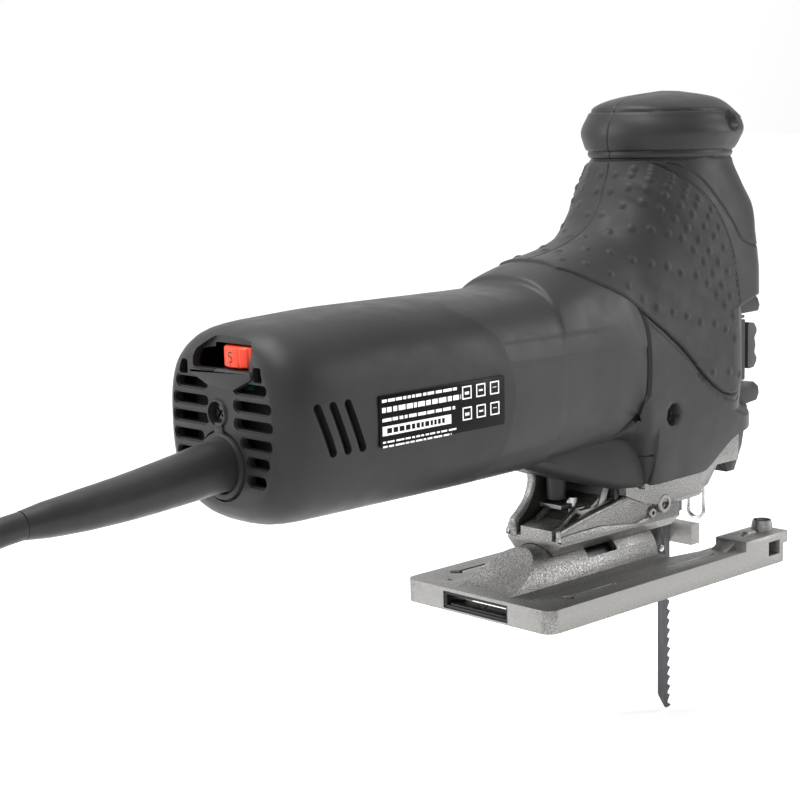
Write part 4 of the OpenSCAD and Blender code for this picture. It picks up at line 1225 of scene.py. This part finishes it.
def make_screws():
    """Domed screw heads with a cross recess."""
    spots = [("screw_rear", (REAR + 1.6, *SCREW_YZ), (-1, 0, 0), 3.75),
             ("screw_side", (WELL_SIDE[0], -27.4, WELL_SIDE[1]), (0, -1, 0), 3.1),
             ("screw_front", (WELL_FRONT[0], -24.2, WELL_FRONT[1]), (0, -1, 0.1), 3.4)]
    for name, at, axis, r in spots:
        head = [(-2.6, r * 0.95), (-0.8, r), (-0.2, r * 0.87), (0.1, r * 0.55), (0.15, r * 0.2)]
        nodes = ("housing_screws",) if name == "screw_rear" else ()
        piece = solid_piece(name, *lathe(head, at, axis, 40), "root", "fasteners", None, 35, nodes)
        w = Vector(axis).normalized()
        u = w.orthogonal().normalized()
        v = w.cross(u)
        cutters = []
        for a, b in ((u, v), (v, u)):
            corners = []
            for along in (-1.7, 1.2):
                for sa, sb in ((-1, -1), (1, -1), (1, 1), (-1, 1)):
                    corners.append(tuple(Vector(at) + w * along + a * sa * r * 0.6 + b * sb * r * 0.13))
            cutters.append((corners, PRISM))
        cut(piece, cutters)
        resharpen(piece, 30)


# Strokes of the figure 5 on a grid two wide and four high
FIVE = [((0, 4), (2, 4)), ((0, 4), (0, 2.2)), ((0, 2.3), (1.4, 2.3)), ((1.4, 2.3), (2, 1.7)),
        ((2, 1.7), (2, 0.7)),
        ((2, 0.7), (1.4, 0)), ((1.4, 0), (0, 0.1))]


def make_dial():
    axis_x, axis_y, radius = -226.7, -5.5, 8.9
    n = 240
    rings = []
    q = np.linspace(0, 2 * math.pi, n, endpoint=False)
    ribs = 0.28 * np.maximum(0, np.cos(q * 16)) ** 6
    # up the ribbed outside, then down the bore
    for z, r in ((110.7, 8.3), (111.2, radius), (117.1, radius), (117.6, 8.4), (117.6, 2.6), (110.7, 2.6)):
        r = r - ribs * (r == radius)
        rings.append(np.stack([axis_x + r * np.cos(q), axis_y + r * np.sin(q), np.full(n, z)], -1))
    solid_piece("speed_dial_wheel", np.concatenate(rings), loop_faces(len(rings), n), "dial", "dial_plastic",
                None,
                40, ("speed_dial",), resharp=40)
    parts = []
    figure_foot, grid_mm = 112.6, 0.82
    for a, b in FIVE:
        a, b = np.array(a, float), np.array(b, float)
        d = (b - a) / np.linalg.norm(b - a)
        side = np.array((-d[1], d[0])) * 0.19
        a, b = a - d * 0.17, b + d * 0.17
        shell = []
        for r in (8.75, 8.98):
            for c in (a - side, b - side, b + side, a + side):
                turn = math.pi + (c[0] - 1) * grid_mm / radius
                up = figure_foot + c[1] * grid_mm
                shell.append((axis_x + r * math.cos(turn), axis_y + r * math.sin(turn), up))
        parts.append((shell, PRISM))
    solid_piece("speed_dial_figure", *join_parts(parts), "dial", "black_plastic", None, 30)


def make_label():
    outline = round_outline(rect(-198, -134.5, 80.5, 100.5), 2.2, 6)
    mesh_piece("rating_label", *plate(outline, -34.62, -34.05, "side", 0.12), "root", "label", None, 35,
               ("rating_plate",))
    parts = []
    ink_lo, ink_hi = -34.72, -34.6
    rng = random.Random(7)

    def bar(x0, x1, z0, z1):
        parts.append(plate(rect(x0, x1, z0, z1), ink_lo, ink_hi, "side", 0))

    # rows of short dashes for print, a pale panel and six plain square marks
    rows = ((97.4, 1.0, -160), (94.3, 1.7, -158), (90.9, 1.1, -161), (83.4, 0.6, -160), (81.9, 0.6, -163))
    for z, h, x_end in rows:
        x = -195.5
        while x < x_end:
            run = rng.uniform(1.2, 4.2)
            bar(x, min(x + run, x_end), z - h / 2, z + h / 2)
            x += run + rng.uniform(0.5, 0.9)
    bar(-195.5, -163, 85.6, 88.8)
    for i, x in enumerate((-155, -148, -141)):
        for z in (88, 95.4):
            parts.append(frame_mark(x, z, 4.6, 0.45, ink_lo, ink_hi))
            bar(x - 1.0, x + 1.0, z - 0.7 + 0.4 * i, z + 0.3)
    mesh_piece("rating_label_print", *join_parts(parts), "root", "label", "label_ink", 30)
    dark = []
    x = -193.5
    while x < -166:
        run = rng.uniform(1.0, 2.4)
        dark.append(plate(rect(x, x + run, 86.3, 88), ink_lo - 0.06, ink_hi - 0.05, "side", 0))
        x += run + 0.7
    mesh_piece("rating_label_panel_print", *join_parts(dark), "root", "label", None, 30)


def frame_mark(x, z, size, line, lo, hi):
    """A plain square frame."""
    h = size / 2
    bars = ((x - h, x + h, z - h, z - h + line), (x - h, x + h, z + h - line, z + h),
            (x - h, x - h + line, z - h + line, z + h - line),
            (x + h - line, x + h, z - h + line, z + h - line))
    return join_parts([plate(rect(*bar), lo, hi, "side", 0) for bar in bars])


make_handle()
make_pads()
make_barrel()
make_rear_cover()
make_rear_trim()
make_screws()
make_dial()
make_label()

# ---- gear casting, sole and small metal parts -------------------------------------------------------

BODY_OF = {node: body for body, nodes in frame["record"]["behaviour"]["bodies"].items() for node in nodes}


def softened(node, width, name=None, finish=None, angle=32):
    """A piece with a CAD node's shape and worn, rounded edges."""
    mesh = frame["nodes"][node].data.copy()
    bm = bmesh.new()
    bm.from_mesh(mesh)
    bmesh.ops.remove_doubles(bm, verts=bm.verts, dist=2e-6)
    bmesh.ops.dissolve_limit(bm, angle_limit=math.radians(1.5), verts=bm.verts, edges=bm.edges)
    bmesh.ops.recalc_face_normals(bm, faces=bm.faces)
    bm.to_mesh(mesh)
    bm.free()
    piece = bpy.data.objects.new("soft", mesh)
    bpy.context.scene.collection.objects.link(piece)
    modifier = piece.modifiers.new("edge", "BEVEL")
    modifier.width = width * MM
    modifier.segments = 2
    modifier.limit_method = "ANGLE"
    modifier.angle_limit = math.radians(angle)
    modifier.use_clamp_overlap = True
    bpy.context.view_layer.update()
    made = bpy.data.meshes.new_from_object(piece.evaluated_get(bpy.context.evaluated_depsgraph_get()))
    bpy.data.objects.remove(piece)
    made.materials.clear()
    return finish_piece(name or node + "_finished", made, BODY_OF[node], NODE_SLOT[node], finish, 40, (node,))


def strap_outline(points, half):
    """A band of constant width along a line in the side view."""
    line = np.array(smooth_line(points, 1.5))
    d = np.gradient(line, axis=0)
    d /= np.linalg.norm(d, axis=1)[:, None]
    side = np.stack([-d[:, 1], d[:, 0]], -1) * half
    return [tuple(p) for p in line + side] + [tuple(p) for p in (line - side)[::-1]]


def make_casting():
    """The gear casting, with its channel, ribs, flank bands and small bosses."""
    case = softened("gear_housing", 0.5, "gear_case")
    corner = [(17.5, 24.5), (28, 13.6), (31, 13.6), (31, 27), (17.5, 27)]
    cut(case, [plate([(x, side * y) for x, y in corner], 63, 118, "top", 0) for side in (-1, 1)])
    resharpen(case, 40)
    parts = []
    # far wall with its hollow rear edge
    edge = smooth_path([(-83.2, 24), (-83.4, 28), (-84, 31), (-80.5, 33.6), (-75.6, 38.2), (-73, 44),
                        (-73.2, 48)], 1.2)
    parts.append(plate([tuple(p) for p in edge] + [(-47, 48), (-47, 26)], 9.2, 12.6, "side", 0.5))
    # curved web and the stiffener ahead of it
    parts.append(plate(strap_outline([(-61, 34.5), (-56, 37.5), (-52, 42), (-50, 47)], 1.1), -11, 9.5,
                       "side", 0.35))
    for side in (-1, 1):
        # band along the foot of the flank, and a round edge along its top
        foot = [(-83.2, 24.9), (-83.2, 27.4), (-60, 27.8), (-38, 28), (-31, 27), (-29, 24.9)]
        foot = round_outline(foot, [0.6, 1, 1, 4, 2, 0.6], 4)
        parts.append(plate(foot, *span(side, 12.9, 14.8), "side", 0.5))
        crest = [(-82.6, side * 13, 28.6), (-65, side * 13, 32.2), (-48, side * 13.1, 35.2),
                 (-38, side * 13.3, 37.2), (-32, side * 13.6, 39.6)]
        parts.append(tube(smooth_path(crest, 3), 1.15, 16))
        # pierced boss on the flank, and a small stud below it
        boss = [(0, 2.3), (0, 4.1), (1.1, 4.1), (1.6, 3.6), (1.6, 2.3)]
        stud = [(0, 0.9), (0, 2.2), (1.3, 2.2), (1.7, 1.8), (1.7, 0.9)]
        parts.append(lathe(boss, (-21, side * 15.2, 30.8), (0, side, 0), 40, True))
        parts.append(lathe(stud, (-27, side * 13.6, 27.6), (0, side, 0), 32, True))
        # flange that the skirt stands on
        flange = [(-43, 41.2), (-38, 39.2), (-10, 40.4), (-4.5, 44), (-1, 50.6), (9, 54.4), (9, 57.6),
                  (-2, 54.4), (-9, 47.6), (-43, 45)]
        flange = round_outline(flange, [1, 4, 5, 4, 3, 1, 1, 3, 3, 1], 4)
        parts.append(plate(flange, *span(side, 19.6, 23.6), "side", 0.7))
    solid_piece("gear_case_webs", *join_parts(parts), "root", "cast_aluminium", resharp=40)
    # dark sheets over the inside of the channel: painted shade under the barrel, not a colour of the casting
    ramp = [(-82.4, 24.6), (-82.4, 25.95), (-69.2, 32.9), (-60, 34.6), (-60, 24.6)]
    parts = [plate(ramp, lo, hi, "side", 0) for lo, hi in ((-11.3, -9.1), (-6.9, 3.9), (6.1, 9))]
    far_wall_shade = smooth_path([(-81.6, 27), (-81.6, 30.4), (-78, 33), (-73.6, 38.4), (-71.4, 44), (-71.6, 47)],
                         1.2)
    parts.append(plate([tuple(p) for p in far_wall_shade] + [(-48, 47), (-48, 27)], 8.9, 9.5, "side", 0))
    parts.append(box((-49, -13, 36), (-46.2, 9, 48), 0.3))
    # these sheets carry painted shade, not the casting's own colour
    mesh_piece("casting_channel_painted_shade", *join_parts(parts), "root", "cast_aluminium", "cast_recess")


def make_fan_cover():
    """Duct under the barrel, flush with the skirt; slots let the fan's air out below."""
    # sections: [place, half width, foot]
    sections = ((-104, 13, 59.4), (-103, 15, 57.6), (-84, 18.2, 51.3), (-66, 21, 45.4), (-56, 23.2, 42.6),
                (DUCT_FRONT, 24.7, 41.6))
    rings = []
    for x, half, low in sections:
        side = [(half * 0.9, 66), (half, 62), (half, low + 5), (half - 0.7, low + 2.6), (half - 2, low + 1),
                (half - 4, low + 0.2), (half - 6, low)]
        rings.append([(x, y, z) for y, z in side] + [(x, -y, z) for y, z in side[::-1]])
    piece = solid_piece("fan_duct", *closed_loft(rings), "root", "housing_plastic", None, 35, ("fan_cover",))
    cut(piece, [plate(round_outline(rect(x, x + 4, -8, 8), 1.5), 38, 61, "top", 0) for x in (-94, -85)])
    resharpen(piece, 35)
    # pillar of the screw that holds the duct
    pillar = lathe([(37.4, 1.7), (37.4, 3.2), (38, 3.8), (47, 4), (47, 1.7)], (-66, 3, 0), (0, 0, 1), 40,
                   True)
    solid_piece("duct_pillar", *pillar, "root", "housing_plastic")


def make_sole():
    softened("base_plate", 0.55, "sole_casting", angle=30)
    parts = []
    for side in (-1, 1):
        # stepped fence block with its ramp and stiffeners
        ramp = [(-2, 8.6), (5.5, 12.6), (9, 12.6), (11, 9), (14, 8.6)]
        parts.append(plate(ramp, *span(side, 25, 33), "side", 0.8))
        step = [(12, 12.5), (15, 14.6), (20, 14.6), (21.5, 12.5)]
        parts.append(plate(step, *span(side, 29.6, 32.6), "side", 0.5))
        # boss of the fence's set screw
        boss = [(12, 4.6), (15.4, 4.4), (17.1, 4.0), (17.5, 3.4), (17.5, 2.2), (12, 2.2)]
        parts.append(lathe(boss, (28, side * 30, 0), (0, 0, 1), 40, True))
    solid_piece("sole_details", *join_parts(parts), BODY_OF["base_plate"], "cast_aluminium", resharp=40)
    softened("dust_insert", 0.3, "dust_port_insert")
    upper = round_outline(rect(-116.4, -108, -15.5, 15.5), [3, 0.5, 0.5, 3])
    lower = round_outline(rect(-117.0, -110, -15.8, 15.8), [2, 0.5, 0.5, 2])
    lips = [plate(upper, 5.4, 6.6, "top", 0.35), plate(lower, 1.9, 2.9, "top", 0.3)]
    mesh_piece("dust_port_lips", *join_parts(lips), BODY_OF["dust_insert"], "black_plastic")


def make_switch():
    guard_top = [(36, 112), (50.5, 111.4), (54, 108.6), (54.8, 105.4), (53.6, 103.2), (36, 103.2)]
    hook_low = [(36, 72.4), (50.4, 72), (54.2, 70), (54.9, 66.8), (53.2, 63.6), (36, 62.6)]
    parts = [plate(round_outline(outline, radii, 4), -SWITCH_HALF, SWITCH_HALF, "side", 0.9, 3)
             for outline,
             radii in ((guard_top, [0.5, 1.5, 1.5, 1, 0.8, 0.5]), (hook_low, [0.5, 0.8, 1.2, 1.2, 1.2, 0.5]))]
    # bellows behind the slide
    for z in (73, 75, 98.2, 100.2):
        parts.append(box((44.7, -6.5, z), (47.9, 6.5, z + 1.2), 0.4))
    parts.append(box((36, -6, 72), (44.3, 6, 73.7), 0.4))
    parts.append(box((36, -6, 100.3), (45.6, 6, 103.4), 0.4))
    mesh_piece("switch_frame", *join_parts(parts), "root", "bezel_plastic", "black_plastic", 40,
               ("switch_bezel",))
    cheek = [(33, 64.5), (42.6, 64.5), (41.6, 75), (41.2, 103), (42.2, 112), (33, 112)]
    cheek = round_outline(cheek, [2, 3, 8, 8, 3, 2])
    cheeks = [plate(cheek, *span(side, 7.9, 9.6), "side", 0.6, 3) for side in (-1, 1)]
    mesh_piece("switch_cheeks", *join_parts(cheeks), "root", "bezel_plastic")
    thumb = [(48.6, 78.4), (52.4, 78.4), (54.6, 80.8), (54.4, 82.4), (52.6, 84.4), (51.6, 88), (52.6, 91.6),
             (54.4, 93.6), (54.6, 95.2), (52.4, 97.6), (48.6, 97.6)]
    parts = [plate(round_outline(thumb, [0.5, 0.8, 1, 0.8, 1.5, 3, 1.5, 0.8, 1, 0.8, 0.5], 4), -8, 8, "side",
                   0.9, 3)]
    # ribs for the thumb
    for i in range(5):
        z = 85 + 1.5 * i
        parts.append(tube([(51.75, -6.6, z), (51.75, 6.6, z)], 0.42, 12))
    mesh_piece("switch_thumb_slide", *join_parts(parts), BODY_OF["switch_slider"], "slider_rubber", None, 40,
               ("switch_slider",))


def make_blade():
    """Ground blade with hooked teeth set to alternate sides."""
    tip, back, gullet, point, pitch = -65.6, -4.2, 1.0, 2.9, 4.2
    teeth = int((-tip - 3) / pitch)
    outline = [(back, 30.5), (back, tip + 7.5), (back + 0.6, tip + 6.2), (0.6, tip), (point - 0.2, tip + 0.5)]
    for i in range(teeth):
        z = tip + 1.2 + i * pitch
        outline += [(point, z), (gullet + 0.9, z + 0.45), (gullet + 0.15, z + 1.0), (gullet + 0.2, z + 1.7),
                    (gullet + 0.9, z + 2.7), (point - 0.25, z + pitch - 0.5)]
    outline += [(point - 0.4, tip + 1.2 + teeth * pitch), (2.6, 0), (2.6, 30.5)]
    verts, faces = plate(outline, -0.6, 0.6, "side", 0)
    verts = np.array(verts)
    phase = (verts[:, 2] - tip - 1.2) / pitch
    side = np.where(np.floor(phase) % 2 == 0, 1, -1)
    lean = np.clip((verts[:, 0] - gullet - 0.4) / 2.2, 0, 1) * (verts[:, 2] < -2)
    verts[:, 1] += 0.28 * side * lean
    mesh_piece("blade", verts, faces, BODY_OF["saw_blade"], "blade_steel", None, 20, ("saw_blade",))


def make_wire_guard():
    x, r = 22, 4
    path = [(x, -r, 46)] + [(x, -r, z) for z in np.linspace(44, 20, 9)]
    path += [(x, r * math.sin(math.radians(q)), 19 - r * math.cos(math.radians(q))) for q in np.linspace(-84,
                                                                                                         84,
                                                                                                         15)]
    path += [(x, r, z) for z in np.linspace(20, 44, 9)] + [(x, r, 46)]
    mesh_piece("finger_guard_wire", *tube(path, 0.9, 16), BODY_OF["wire_guard"], "bright_wire", None, 40,
               ("wire_guard",))


def make_roller():
    x, z = -9.3, 8
    half = [(-4, 1.7), (-4, 2.6), (-3.7, 3.0), (-3.7, 4.3), (-4, 4.7), (-3.8, 5.2), (-3.4, 5.45),
            (-0.75, 5.45),
            (-0.6, 4.8)]
    profile = half + [(-y, r) for y, r in half[::-1]]
    roller = solid_piece("blade_roller", *lathe(profile, (x, 0, z), (0, 1, 0), 64, True),
                         BODY_OF["guide_roller"],
                         "dark_steel", None, 30, ("guide_roller",))
    cutters = []
    for i in range(9):
        q = math.radians(40 * i)
        cx, cz = x + 3.65 * math.cos(q), z + 3.65 * math.sin(q)
        for side in (-1, 1):
            cutters.append(rounded_rod((cx, side * 2.9, cz), (cx, side * 5, cz), 0.75, 0.05, 16))
    cut(roller, cutters)
    resharpen(roller, 30)
    softened("roller_retainer", 0.3, "roller_fork")
    softened("roller_pin", 0.25)
    softened("retainer_pin", 0.3)


def make_levers():
    softened("orbit_lever", 0.5)
    softened("opener_lever", 0.5, "blade_release_cover", finish="release_gloss")
    for node, width in (("clamp_sleeve", 0.4), ("blade_clamp", 0.3), ("opener_pin", 0.3), ("base_bolt", 0.3),
                        ("base_clamp_plate", 0.4)):
        softened(node, width)


make_casting()
make_fan_cover()
make_sole()
make_switch()
make_blade()
make_wire_guard()
make_roller()
make_levers()

# ---- finishes of the carried-over parts, and a last update of the view layer ----------------------

for node, obj in frame["nodes"].items():
    obj.data.materials.clear()
    obj.data.materials.append(FINISH[NODE_SLOT[node]])

bpy.context.view_layer.update()
